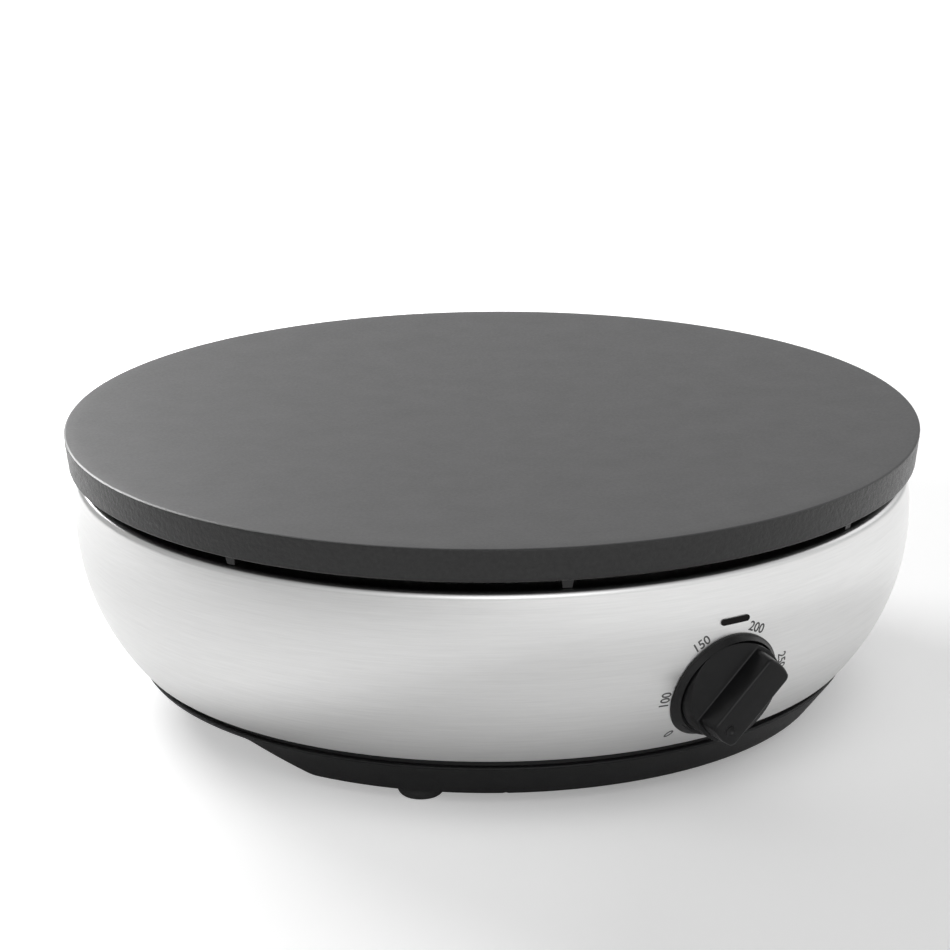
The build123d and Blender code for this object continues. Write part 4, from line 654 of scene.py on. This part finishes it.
# ---------------------------------------------------------------- cast plate
PLATE_SEGMENTS = 720
TOP_RINGS = (0.02, 0.1, 0.3, 0.6, 0.85, 0.96)   # rings of points on the top, as shares of its radius
PLATE_DRAFT = 1.4 * MM
PLATE_EASE = 0.9 * MM
POCKET_R = 163.0 * MM
WEB_Z = 109.0 * MM
RIB_DEEP = 4.0 * MM
RIB_WIDE = 4.0 * MM
RIB_INNER = 125.6 * MM
RING_RIB = 72.0 * MM
TIE_RING = 92.0 * MM
ELEMENT_RING = 105.0 * MM
ELEMENT_R = 3.3 * MM
CLAMP_REACH = 12.0 * MM
CLAMP_TOP = WEB_Z - 2 * ELEMENT_R - 0.05 * MM
BOSS_R = 4.6 * MM
REFLECTOR_TOP = WEB_Z - 13.0 * MM
LUG_RING = RIM_R - 0.7 * MM
LUG_HALF = (2.5 * MM, 2.4 * MM)
LUG_SHRINK = 0.626 * MM
SEAT = 0.15 * MM
CAST_DEEP = 0.16 * MM
CAST_INNER = 2.5 * MM   # the cast skin reaches this far in from the edge, and up to this far below the top
CAST_BELOW = 0.7 * MM
CAST_BROAD = 0.55       # bumps in a millimetre, for the two sizes of grain
CAST_FINE = 1.3
TIE_BOSS_R = 7.0 * MM
TIE_HOLE_R = 2.55 * MM
SCREW_PILOT_R = 2.05 * MM
PILOT_DEEP = 7.0 * MM
CLAMP_RINGS = (ELEMENT_RING - CLAMP_REACH, ELEMENT_RING + CLAMP_REACH)
CLIP_RINGS = (54.5 * MM, 35.5 * MM)
CLIP_TOP = WEB_Z - 6.1 * MM
CLAMP_ANGLES = [math.radians(-210 + 60 * k) for k in range(5)]
TIE_ANGLES = [math.radians(45 + 90 * k) for k in range(4)]
RIB_ANGLES = [math.radians(11.25 + 22.5 * k) for k in range(16)]
LUG_ANGLES = [math.radians(22.5 + 45 * k) for k in range(8)]


def plate_section():
    """Half section of the plate: ground top, eased edge, drafted side, foot, pocket, web and two ribs."""
    tip = (PLATE_R - PLATE_EASE, PLATE_TOP - PLATE_EASE)
    low = (PLATE_R - PLATE_DRAFT - PLATE_EASE, RIM_Z + PLATE_EASE)
    top = [(0.0, PLATE_TOP)] + [(PLATE_R * share, PLATE_TOP) for share in TOP_RINGS]
    edge = round_points(tip, PLATE_EASE, QUARTER, 0, 8)
    side_end = (PLATE_R - PLATE_DRAFT, RIM_Z + PLATE_EASE)
    side = straight_points(edge[-1], side_end, 26)
    foot = round_points(low, PLATE_EASE, 0, -QUARTER, 6)
    below = [(POCKET_R, RIM_Z), (POCKET_R - 1.6 * MM, WEB_Z)]
    ring_inner = RING_RIB - RIB_WIDE / 2
    for inner, outer in ((RIB_INNER, RIB_INNER + RIB_WIDE), (ring_inner, ring_inner + RIB_WIDE)):
        below += [(outer, WEB_Z), (outer, WEB_Z - RIB_DEEP), (inner, WEB_Z - RIB_DEEP), (inner, WEB_Z)]
    return top + edge + side + foot + below + [(0.0, WEB_Z)]


def cast_relief(work):
    """Sand-cast roughness on the plate's side, always inwards."""
    for vertex in work.verts:
        out = Vector((vertex.co.x, vertex.co.y - AXIS_Y, 0))
        radius = out.length
        if radius < PLATE_R - CAST_INNER or vertex.co.z > PLATE_TOP - CAST_BELOW:
            continue
        spot = vertex.co / MM
        broad = field.noise(spot * CAST_BROAD)
        fine = field.noise(spot * CAST_FINE + Vector((7.0, 3.0, 1.0)))
        rough = 0.6 * broad + 0.4 * fine
        depth = CAST_DEEP * max(0.0, 0.5 + 0.9 * rough)
        vertex.co -= out / radius * depth


def build_plate():
    work = lathe(plate_section(), PLATE_SEGMENTS)
    cast_relief(work)
    plate = as_object("plate", work)
    added = bmesh.new()
    inner, outer = RIB_INNER + RIB_WIDE - MM, POCKET_R + 0.5 * MM
    for angle in RIB_ANGLES:
        bar = [(inner, -RIB_WIDE / 2), (outer, -RIB_WIDE / 2), (outer, RIB_WIDE / 2), (inner, RIB_WIDE / 2)]
        prism(added, [turned(point, angle) for point in bar], WEB_Z - RIB_DEEP + 0.01 * MM, WEB_Z + MM)
    half, wide = LUG_HALF
    lug = [(-half, -wide), (half, -wide), (half, wide), (-half, wide)]
    foot = [(x - math.copysign(LUG_SHRINK, x), y - math.copysign(LUG_SHRINK, y)) for x, y in lug]
    for angle in LUG_ANGLES:
        top = [turned(point, angle, LUG_RING) for point in lug]
        block = prism(added, top, SHELL_TOP + SEAT, RIM_Z - 0.5 * MM)
        for vertex, point in zip(block, foot):
            vertex.co.x, vertex.co.y = turned(point, angle, LUG_RING)
        root = [turned((0.99 * x, 0.99 * y), angle, LUG_RING) for x, y in lug]
        prism(added, root, RIM_Z - 0.6 * MM, RIM_Z + 2 * MM)
    for angle in TIE_ANGLES:
        prism(added, circle(TIE_RING, angle, TIE_BOSS_R), REFLECTOR_TOP, WEB_Z + MM)
    for ring in CLAMP_RINGS:
        for angle in CLAMP_ANGLES:
            prism(added, circle(ring, angle, BOSS_R), CLAMP_TOP, WEB_Z + MM)
    for ring in CLIP_RINGS:
        prism(added, circle(ring, -QUARTER, BOSS_R), CLIP_TOP, WEB_Z + MM)
    combine(plate, as_object("plate_added", added), "UNION")
    holes = bmesh.new()
    for angle in TIE_ANGLES:
        prism(holes, circle(TIE_RING, angle, TIE_HOLE_R), REFLECTOR_TOP - MM, WEB_Z)
    for ring in CLAMP_RINGS:
        for angle in CLAMP_ANGLES:
            prism(holes, circle(ring, angle, SCREW_PILOT_R), CLAMP_TOP - MM, CLAMP_TOP + PILOT_DEEP)
    for ring in CLIP_RINGS:
        prism(holes, circle(ring, -QUARTER, SCREW_PILOT_R), CLIP_TOP - MM, CLIP_TOP + PILOT_DEEP)
    combine(plate, as_object("plate_holes", holes), "DIFFERENCE")
    set_normals(plate, [])
    finish_piece(plate, plate_iron, "housing", ("cooking_plate",))


build_plate()

# ---------------------------------------------------------------- control: places in the knob's own frame
BOWL_BETWEEN = (-20.0 * MM, 30.0 * MM)   # the bowl's face is looked for this far from the knob's plane
BOWL_STEPS = 40


def on_bowl(x, y, lift):
    """The point of the bowl that faces the knob's plane at (x, y), lifted off the surface."""
    start = in_knob_frame(x, y, 0.0)
    low, high = BOWL_BETWEEN
    for _ in range(BOWL_STEPS):
        middle = (low + high) / 2
        spot = start + KNOB_OUT * middle
        if math.hypot(spot.x, spot.y - AXIS_Y) > bowl_radius(spot.z):
            high = middle
        else:
            low = middle
    return start + KNOB_OUT * (low + lift)


def loft(rows, closed):
    """A skin over rows of as many points each; the last row meets the first, or both ends are capped."""
    work = bmesh.new()
    made = [[work.verts.new(point) for point in row] for row in rows]
    count = len(rows[0])
    pairs = list(zip(made, made[1:]))
    if closed:
        pairs.append((made[-1], made[0]))
    for this, after in pairs:
        for k in range(count):
            work.faces.new((this[k], this[(k + 1) % count], after[(k + 1) % count], after[k]))
    if not closed:
        work.faces.new(made[0])
        work.faces.new(made[-1])
    bmesh.ops.recalc_face_normals(work, faces=work.faces)
    return work


def ring_of(radius, height, count):
    return [
        (radius * math.cos(2 * math.pi * k / count), radius * math.sin(2 * math.pi * k / count), height)
        for k in range(count)
    ]


def drum(radius, low, high, count=96):
    """A round bar along the knob's axis, in millimetres."""
    return loft([ring_of(radius, low, count), ring_of(radius, high, count)], False)


# ---------------------------------------------------------------- bezel: lip on the bowl, and cup behind it
# Bezel and knob are drawn in millimetres, in the knob's own frame.
BORE = 20.6
CUP_R = 22.0
RIM_OUT = 23.3
RIM_DROP = 0.9        # the middle of the lip's outer ring lies this far below the knob's axis
CUP_FLOOR = -2.8
CUP_BACK = -4.6
SPINDLE_GAP = 4.2
RING_LEAN = math.radians(14.8)   # the lip's inner edge leans this much against the knob's plane
RING_RISE = 0.3
BEZEL_POINTS = 180
LIP_SEAT = 0.15         # the lip's heights over the bowl: seat, upright edge, roll and top
LIP_RISE = 0.7
LIP_ROLL = 0.92
LIP_TOP = 1.0
EDGE_IN = 0.35          # the lip's top starts this far in from its outer edge and from the bore
EDGE_ROLL = 0.1         # width of the small slope between the two


def ring_height(radius, angle):
    """Height of the lip's inner edge above the knob's plane."""
    return RING_RISE + radius * math.sin(angle) * math.tan(RING_LEAN)


def build_bezel():
    rows = []
    for k in range(BEZEL_POINTS):
        angle = 2 * math.pi * k / BEZEL_POINTS
        across, along = math.cos(angle), math.sin(angle)

        def level(radius, height):
            return in_knob_frame(across * radius * MM, along * radius * MM, height * MM)

        def lifted(radius, lift):
            drop = RIM_DROP if radius > CUP_R else 0.0
            return on_bowl(across * radius * MM, (along * radius - drop) * MM, lift * MM)

        inner = ring_height(BORE, angle)
        outer = lifted(RIM_OUT - EDGE_IN, LIP_TOP)
        start = level(BORE + EDGE_IN, inner)
        rows.append(
            [
                level(SPINDLE_GAP, CUP_BACK),
                level(CUP_R, CUP_BACK),
                lifted(CUP_R, LIP_SEAT),
                lifted(RIM_OUT, LIP_SEAT),
                lifted(RIM_OUT, LIP_RISE),
                lifted(RIM_OUT - EDGE_ROLL, LIP_ROLL),
                outer,
                outer.lerp(start, 0.5),
                start,
                level(BORE + EDGE_ROLL, inner - EDGE_ROLL),
                level(BORE, inner - EDGE_IN),
                level(BORE, CUP_FLOOR),
                level(SPINDLE_GAP, CUP_FLOOR),
            ]
        )
    piece = as_object("bezel", loft(rows, True))
    set_normals(piece, [])
    finish_piece(piece, bezel_black, "housing", ("knob_bezel",))


# ---------------------------------------------------------------- knob: sloped face, grip blade, hollow
KNOB_R = 20.2
KNOB_FOOT = -1.6
SKIRT_STEP = -0.7
KNOB_TOP_R = 19.9
CROWN = 7.0
CROWN_BEVEL = 2.4
FACE_FALL = 0.25      # slope of the face on each side of the blade
BLADE_HALF = 7.4
BLADE_R = 18.8
BLADE_TOP = 16.4
BLADE_DRAFT = math.tan(math.radians(3.0))
BLADE_FOOT = 3.1
BLADE_ROLL = 1.1
BLADE_CORNER = 2.2
BLADE_TURN = math.radians(45.0)
CAVITY_R = 18.0
CAVITY_TOP = 2.5
HUB_R = 5.6
POCKET_HALF = (14.8, 5.1)
POCKET_TOP = 13.6
BORE_R = 3.03
BORE_TOP = 11.6
FLAT = 2.23
KNOB_POINTS = 192
SKIRT_EASE = 0.3
ROOF_REACH = 26.0       # half the width and length of the block that trims the face, and its foot
ROOF_LONG = 30.0
ROOF_FOOT = -9.0
ROUND_WIDE = 0.35
ROUND_SIDES = 3
END_STEPS = 12          # steps of the blade's round end on each side, and of its corners
CORNER_STEPS = 8
TOP_STEPS = 6
DIMPLE_R = 2.7
DIMPLE_ALONG = -13.3
DIMPLE_LIFT = 1.6


def along_blade(x, y, z):
    """A point given along the blade, across it and up, turned to the blade's direction."""
    return (
        x * math.cos(BLADE_TURN) - y * math.sin(BLADE_TURN),
        x * math.sin(BLADE_TURN) + y * math.cos(BLADE_TURN),
        z,
    )


def blade_outline(inset, height):
    """Outline of the grip blade: two straight sides and two round ends, with rounded corners."""
    radius, half, corner = BLADE_R - inset, BLADE_HALF - inset, BLADE_CORNER
    reach = math.sqrt((radius - corner) ** 2 - (half - corner) ** 2)
    lean = math.atan2(half - corner, reach)
    points = []
    for k in range(-END_STEPS, END_STEPS + 1):
        turn = lean * k / END_STEPS
        points.append((radius * math.cos(turn), radius * math.sin(turn)))
    for k in range(1, CORNER_STEPS + 1):
        turn = lean + (QUARTER - lean) * k / CORNER_STEPS
        points.append((reach + corner * math.cos(turn), half - corner + corner * math.sin(turn)))
    corner_points = points[2 * END_STEPS + 1:]
    mirrored = [(-x, y) for x, y in reversed(corner_points)]
    upper = points + mirrored
    lower = [(-x, -y) for x, y in upper]
    return [along_blade(x, y, height) for x, y in upper + lower]


def build_knob():
    skirt = [
        ring_of(KNOB_R - SKIRT_EASE, KNOB_FOOT, KNOB_POINTS),
        ring_of(KNOB_R, KNOB_FOOT + SKIRT_EASE, KNOB_POINTS),
        ring_of(KNOB_R, SKIRT_STEP, KNOB_POINTS),
        ring_of(KNOB_TOP_R, CROWN + 3, KNOB_POINTS),
    ]
    knob = as_object("knob_dressed", loft(skirt, False))
    low = CROWN - FACE_FALL * (ROOF_REACH - BLADE_HALF)
    # from the outside in: the slope of the face, then a small hollow curve up to the blade
    half_roof = [
        (ROOF_REACH, low),
        (BLADE_HALF + 0.32, CROWN - 0.08),
        (BLADE_HALF + 0.12, CROWN + 0.02),
        (BLADE_HALF - 0.05, CROWN + 0.26),
    ]
    other_half = [(-y, z) for y, z in reversed(half_roof)]
    roof = [(ROOF_REACH, ROOF_FOOT)] + half_roof + other_half + [(-ROOF_REACH, ROOF_FOOT)]
    ends = [[along_blade(x, y, z) for y, z in roof] for x in (-ROOF_LONG, ROOF_LONG)]
    combine(knob, as_object("roof", loft(ends, False)), "INTERSECT")
    for name, width, limit, segments in (
        ("crown", CROWN_BEVEL, 50, 1),
        ("round", ROUND_WIDE, 20, ROUND_SIDES),
    ):
        round_edges = knob.modifiers.new(name, "BEVEL")
        round_edges.limit_method = "ANGLE"
        round_edges.angle_limit = math.radians(limit)
        round_edges.width = width
        round_edges.segments = segments
    rounded = carried_out(knob)
    knob.modifiers.clear()
    knob.data = rounded
    draft_top = (BLADE_TOP - BLADE_FOOT) * BLADE_DRAFT
    roll_foot = BLADE_TOP - BLADE_ROLL
    rows = [blade_outline(0.0, BLADE_FOOT)]
    for share in (0.5, 0.97):
        rows.append(blade_outline(draft_top * share, BLADE_FOOT + (roll_foot - BLADE_FOOT) * share))
    for k in range(TOP_STEPS + 1):
        turn = QUARTER * k / TOP_STEPS
        inset = draft_top + BLADE_ROLL * (1 - math.cos(turn))
        rows.append(blade_outline(inset, roll_foot + BLADE_ROLL * math.sin(turn)))
    combine(knob, as_object("blade", loft(rows, False)), "UNION")
    dimple = bmesh.new()
    bmesh.ops.create_uvsphere(dimple, u_segments=48, v_segments=32, radius=DIMPLE_R)
    middle = along_blade(DIMPLE_ALONG, 0.0, BLADE_TOP + DIMPLE_LIFT)
    bmesh.ops.translate(dimple, verts=dimple.verts, vec=middle)
    combine(knob, as_object("dimple", dimple), "DIFFERENCE")
    hollow = as_object("hollow", drum(CAVITY_R, KNOB_FOOT - 1, CAVITY_TOP))
    long, wide = POCKET_HALF
    corners = ((-long, -wide), (long, -wide), (long, wide), (-long, wide))
    pocket = [[along_blade(x, y, z) for x, y in corners] for z in (KNOB_FOOT - 0.5, POCKET_TOP)]
    combine(hollow, as_object("pocket", loft(pocket, False)), "UNION")
    combine(hollow, as_object("hub", drum(HUB_R, KNOB_FOOT - 2, BLADE_TOP, 64)), "DIFFERENCE")
    bore = drum(BORE_R, KNOB_FOOT - 1.5, BORE_TOP, 48)
    for vertex in bore.verts:
        vertex.co.y = min(vertex.co.y, FLAT)
    combine(hollow, as_object("bore", bore), "UNION")
    combine(knob, hollow, "DIFFERENCE")
    work = bmesh.new()
    work.from_mesh(knob.data)
    for vertex in work.verts:
        vertex.co = in_knob_frame(*(vertex.co * MM))
    work.to_mesh(knob.data)
    work.free()
    set_normals(knob, [])
    finish_piece(knob, knob_black, "dial", ("knob",))


build_bezel()
build_knob()

# ---------------------------------------------------------------- printed numbers round the dial
DIGIT_HEIGHT = 4.0 * MM
DIGIT_SQUEEZE = 0.90
DIGIT_WEIGHT = 0.09 * MM
DIGIT_SHARE = 0.70      # about this share of the font's size is a figure's height
DIGIT_LIFT = 0.04 * MM
DIGIT_STEP = 0.8 * MM   # longer edges are cut up, so that the figures follow the bowl


def print_number(text, right, up, angle):
    """A number printed on the bowl round a place in the knob's frame, turned clockwise by an angle."""
    curve = bpy.data.curves.new("number_" + text, "FONT")
    curve.body = text
    curve.align_x = "CENTER"
    curve.align_y = "CENTER"
    curve.size = DIGIT_HEIGHT / DIGIT_SHARE
    curve.offset = DIGIT_WEIGHT
    curve.resolution_u = 6
    flat = bpy.data.objects.new("flat", curve)
    bpy.context.scene.collection.objects.link(flat)
    mesh = carried_out(flat)
    bpy.data.objects.remove(flat)
    work = bmesh.new()
    work.from_mesh(mesh)
    bmesh.ops.remove_doubles(work, verts=work.verts, dist=1e-7)
    bmesh.ops.triangulate(work, faces=work.faces)
    long_edges = [edge for edge in work.edges if edge.calc_length() > DIGIT_STEP]
    bmesh.ops.subdivide_edges(work, edges=long_edges, cuts=2, use_grid_fill=False)
    bmesh.ops.triangulate(work, faces=work.faces)
    low = min(v.co.y for v in work.verts)
    high = max(v.co.y for v in work.verts)
    turn = math.radians(angle)
    for vertex in work.verts:
        x = vertex.co.x * DIGIT_SQUEEZE
        y = (vertex.co.y - (low + high) / 2) * DIGIT_HEIGHT / (high - low)
        across = right * MM + x * math.cos(turn) + y * math.sin(turn)
        along = up * MM + y * math.cos(turn) - x * math.sin(turn)
        vertex.co = on_bowl(across, along, DIGIT_LIFT)
    work.to_mesh(mesh)
    work.free()
    mesh.materials.clear()
    mesh.materials.append(ink)
    piece = bpy.data.objects.new("number_" + text, mesh)
    bpy.context.scene.collection.objects.link(piece)
    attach(piece, "housing")


ink = grained("ink_grey", (0.085, 0.085, 0.086), (0.105, 0.105, 0.106), 0.5, 0.65, 3000.0, 0.0)
# each number with its place right of the knob's axis and above it in millimetres, and its turn in degrees
PRINTED = (
    ("0", -18.0, -20.7, -137.5),
    ("100", -25.8, -2.1, -90.6),
    ("150", -14.5, 20.9, -31.8),
    ("200", 10.5, 23.1, 23.4),
    ("250", 26.4, 4.7, 79.0),
)
for label, right, up, angle in PRINTED:
    print_number(label, right, up, angle)

# ---------------------------------------------------------------- floor, backdrop and light
CAMERA_WHITE = 1.0    # the backdrop where the camera sees it
MIRROR_WHITE = 1.0    # and where metal and glass show it
MIRROR_ABOVE = 0.55   # the same where metal mirrors what is overhead
AMBIENT = 0.36        # what it adds to the plain light
# dimmer sides of the studio: degrees from the camera, how much dimmer, and where the dimming starts
DIM_SIDES = ((-72.0, 0.42, 0.25), (150.0, 0.38, 0.5))
GLOW_LEFT = 0.58      # the floor's own light where the camera sees it, left and right of the object
GLOW_RIGHT = 0.28
GLOW_FAR = 0.45       # what is added far from the object, where the backdrop is white
GLOW_MIRROR_LEFT = 0.0    # the floor's own light where metal mirrors it, left and right
GLOW_MIRROR_RIGHT = 0.35
GLOW_NEAR = 0.2       # what is left of that close to the object
# where each of them changes, in metres from the middle: across the picture, and away from it
GLOW_SIDES = (-0.25, 0.05)
GLOW_AWAY = (0.35, 0.80)
MIRROR_SIDES = (-0.35, 0.35)
MIRROR_AWAY = (0.15, 0.20)
OVERHEAD = (0.4, 0.8)     # the backdrop dims between these two heights of a direction
FLOOR_HALF = 12.0
FLOOR_COLOUR = (0.82, 0.82, 0.82)


def ray_mix(tree, camera, mirror, plain):
    """One value for rays from the camera, one for rays from metal and glass, one for the rest."""
    path = tree.nodes.new("ShaderNodeLightPath")
    shiny = maths(tree, "MAXIMUM", path.outputs["Is Glossy Ray"], path.outputs["Is Transmission Ray"])
    unseen = mix(tree, "FLOAT", shiny, plain, mirror)
    return mix(tree, "FLOAT", path.outputs["Is Camera Ray"], unseen, camera)


def floor_glow(tree):
    """Strengths of the floor's own light by place: for the camera, and for reflections."""
    side = reach(tree, "Object", (math.cos(CAM_TURN), math.sin(CAM_TURN), 0))
    coords = tree.nodes.new("ShaderNodeTexCoord")
    away = tree.nodes.new("ShaderNodeVectorMath")
    away.operation = "LENGTH"
    tree.links.new(coords.outputs["Object"], away.inputs[0])
    distance = away.outputs["Value"]
    beside = remap(tree, side, GLOW_LEFT, GLOW_RIGHT, *GLOW_SIDES)
    behind = remap(tree, distance, 0.0, GLOW_FAR, *GLOW_AWAY)
    mirrored = remap(tree, side, GLOW_MIRROR_LEFT, GLOW_MIRROR_RIGHT, *MIRROR_SIDES)
    clear = remap(tree, distance, GLOW_NEAR, 1.0, *MIRROR_AWAY)
    return maths(tree, "ADD", beside, behind), maths(tree, "MULTIPLY", mirrored, clear)


def studio_side(tree):
    """Strength of the surroundings in reflections: dimmer towards some sides and overhead."""
    total = remap(tree, reach(tree, "Generated", UPWARDS), MIRROR_WHITE, MIRROR_ABOVE, *OVERHEAD)
    for side, depth, start in DIM_SIDES:
        turn = CAM_TURN + math.radians(side)
        toward = reach(tree, "Generated", (math.sin(turn), -math.cos(turn), 0))
        total = maths(tree, "MULTIPLY", total, remap(tree, toward, 1.0, 1.0 - depth, start, 1.0))
    return total


def make_world():
    world = bpy.data.worlds.new("studio")
    bpy.context.scene.world = world
    world.use_nodes = True
    tree = world.node_tree
    tree.nodes.clear()
    out = tree.nodes.new("ShaderNodeOutputWorld")
    back = tree.nodes.new("ShaderNodeBackground")
    back.inputs["Color"].default_value = (1, 1, 1, 1)
    tree.links.new(ray_mix(tree, CAMERA_WHITE, studio_side(tree), AMBIENT), back.inputs["Strength"])
    tree.links.new(back.outputs[0], out.inputs[0])


def make_floor():
    mesh = bpy.data.meshes.new("floor")
    half = FLOOR_HALF
    corners = [(-half, -half, 0), (half, -half, 0), (half, half, 0), (-half, half, 0)]
    mesh.from_pydata(corners, [], [(0, 1, 2, 3)])
    floor = bpy.data.objects.new("floor", mesh)
    bpy.context.scene.collection.objects.link(floor)
    material = bpy.data.materials.new("floor_white")
    material.use_nodes = True
    tree = material.node_tree
    tree.nodes.clear()
    out = tree.nodes.new("ShaderNodeOutputMaterial")
    diffuse = tree.nodes.new("ShaderNodeBsdfDiffuse")
    diffuse.inputs["Color"].default_value = (*FLOOR_COLOUR, 1)
    glow = tree.nodes.new("ShaderNodeEmission")
    seen, mirrored = floor_glow(tree)
    tree.links.new(ray_mix(tree, seen, mirrored, 0.0), glow.inputs["Strength"])
    both = tree.nodes.new("ShaderNodeAddShader")
    tree.links.new(diffuse.outputs[0], both.inputs[0])
    tree.links.new(glow.outputs[0], both.inputs[1])
    tree.links.new(both.outputs[0], out.inputs[0])
    mesh.materials.append(material)


LAMP_TARGET = (0, 0, 0.06)


def seen_from(azimuth, elevation, distance, target):
    """A point that far from the target; azimuth is counted from the camera's own side, to the right."""
    a = CAM_TURN + math.radians(azimuth)
    e = math.radians(elevation)
    toward = Vector((math.sin(a) * math.cos(e), -math.cos(a) * math.cos(e), math.sin(e)))
    return Vector(target) + distance * toward


def area_lamp(name, azimuth, elevation, distance, size, power):
    """A round lamp that looks at the object; azimuth is counted from the camera's side, to the right."""
    data = bpy.data.lights.new(name, "AREA")
    data.shape = "DISK"
    data.size = size
    data.energy = power
    lamp = bpy.data.objects.new(name, data)
    bpy.context.scene.collection.objects.link(lamp)
    spot = seen_from(azimuth, elevation, distance, LAMP_TARGET)
    lamp.location = spot
    lamp.rotation_mode = "QUATERNION"
    lamp.rotation_quaternion = (Vector(LAMP_TARGET) - spot).to_track_quat("-Z", "Y")


make_world()
make_floor()
# each lamp: degrees from the camera's side, degrees up, distance and size in metres, power in watts
area_lamp("key", -136, 32, 0.95, 0.5, 7.6)
area_lamp("fill", 8, 30, 2.6, 1.6, 12.5)
area_lamp("side", 118, 22, 2.4, 1.2, 5.5)

view_settings = bpy.context.scene.view_settings
view_settings.view_transform = "Standard"
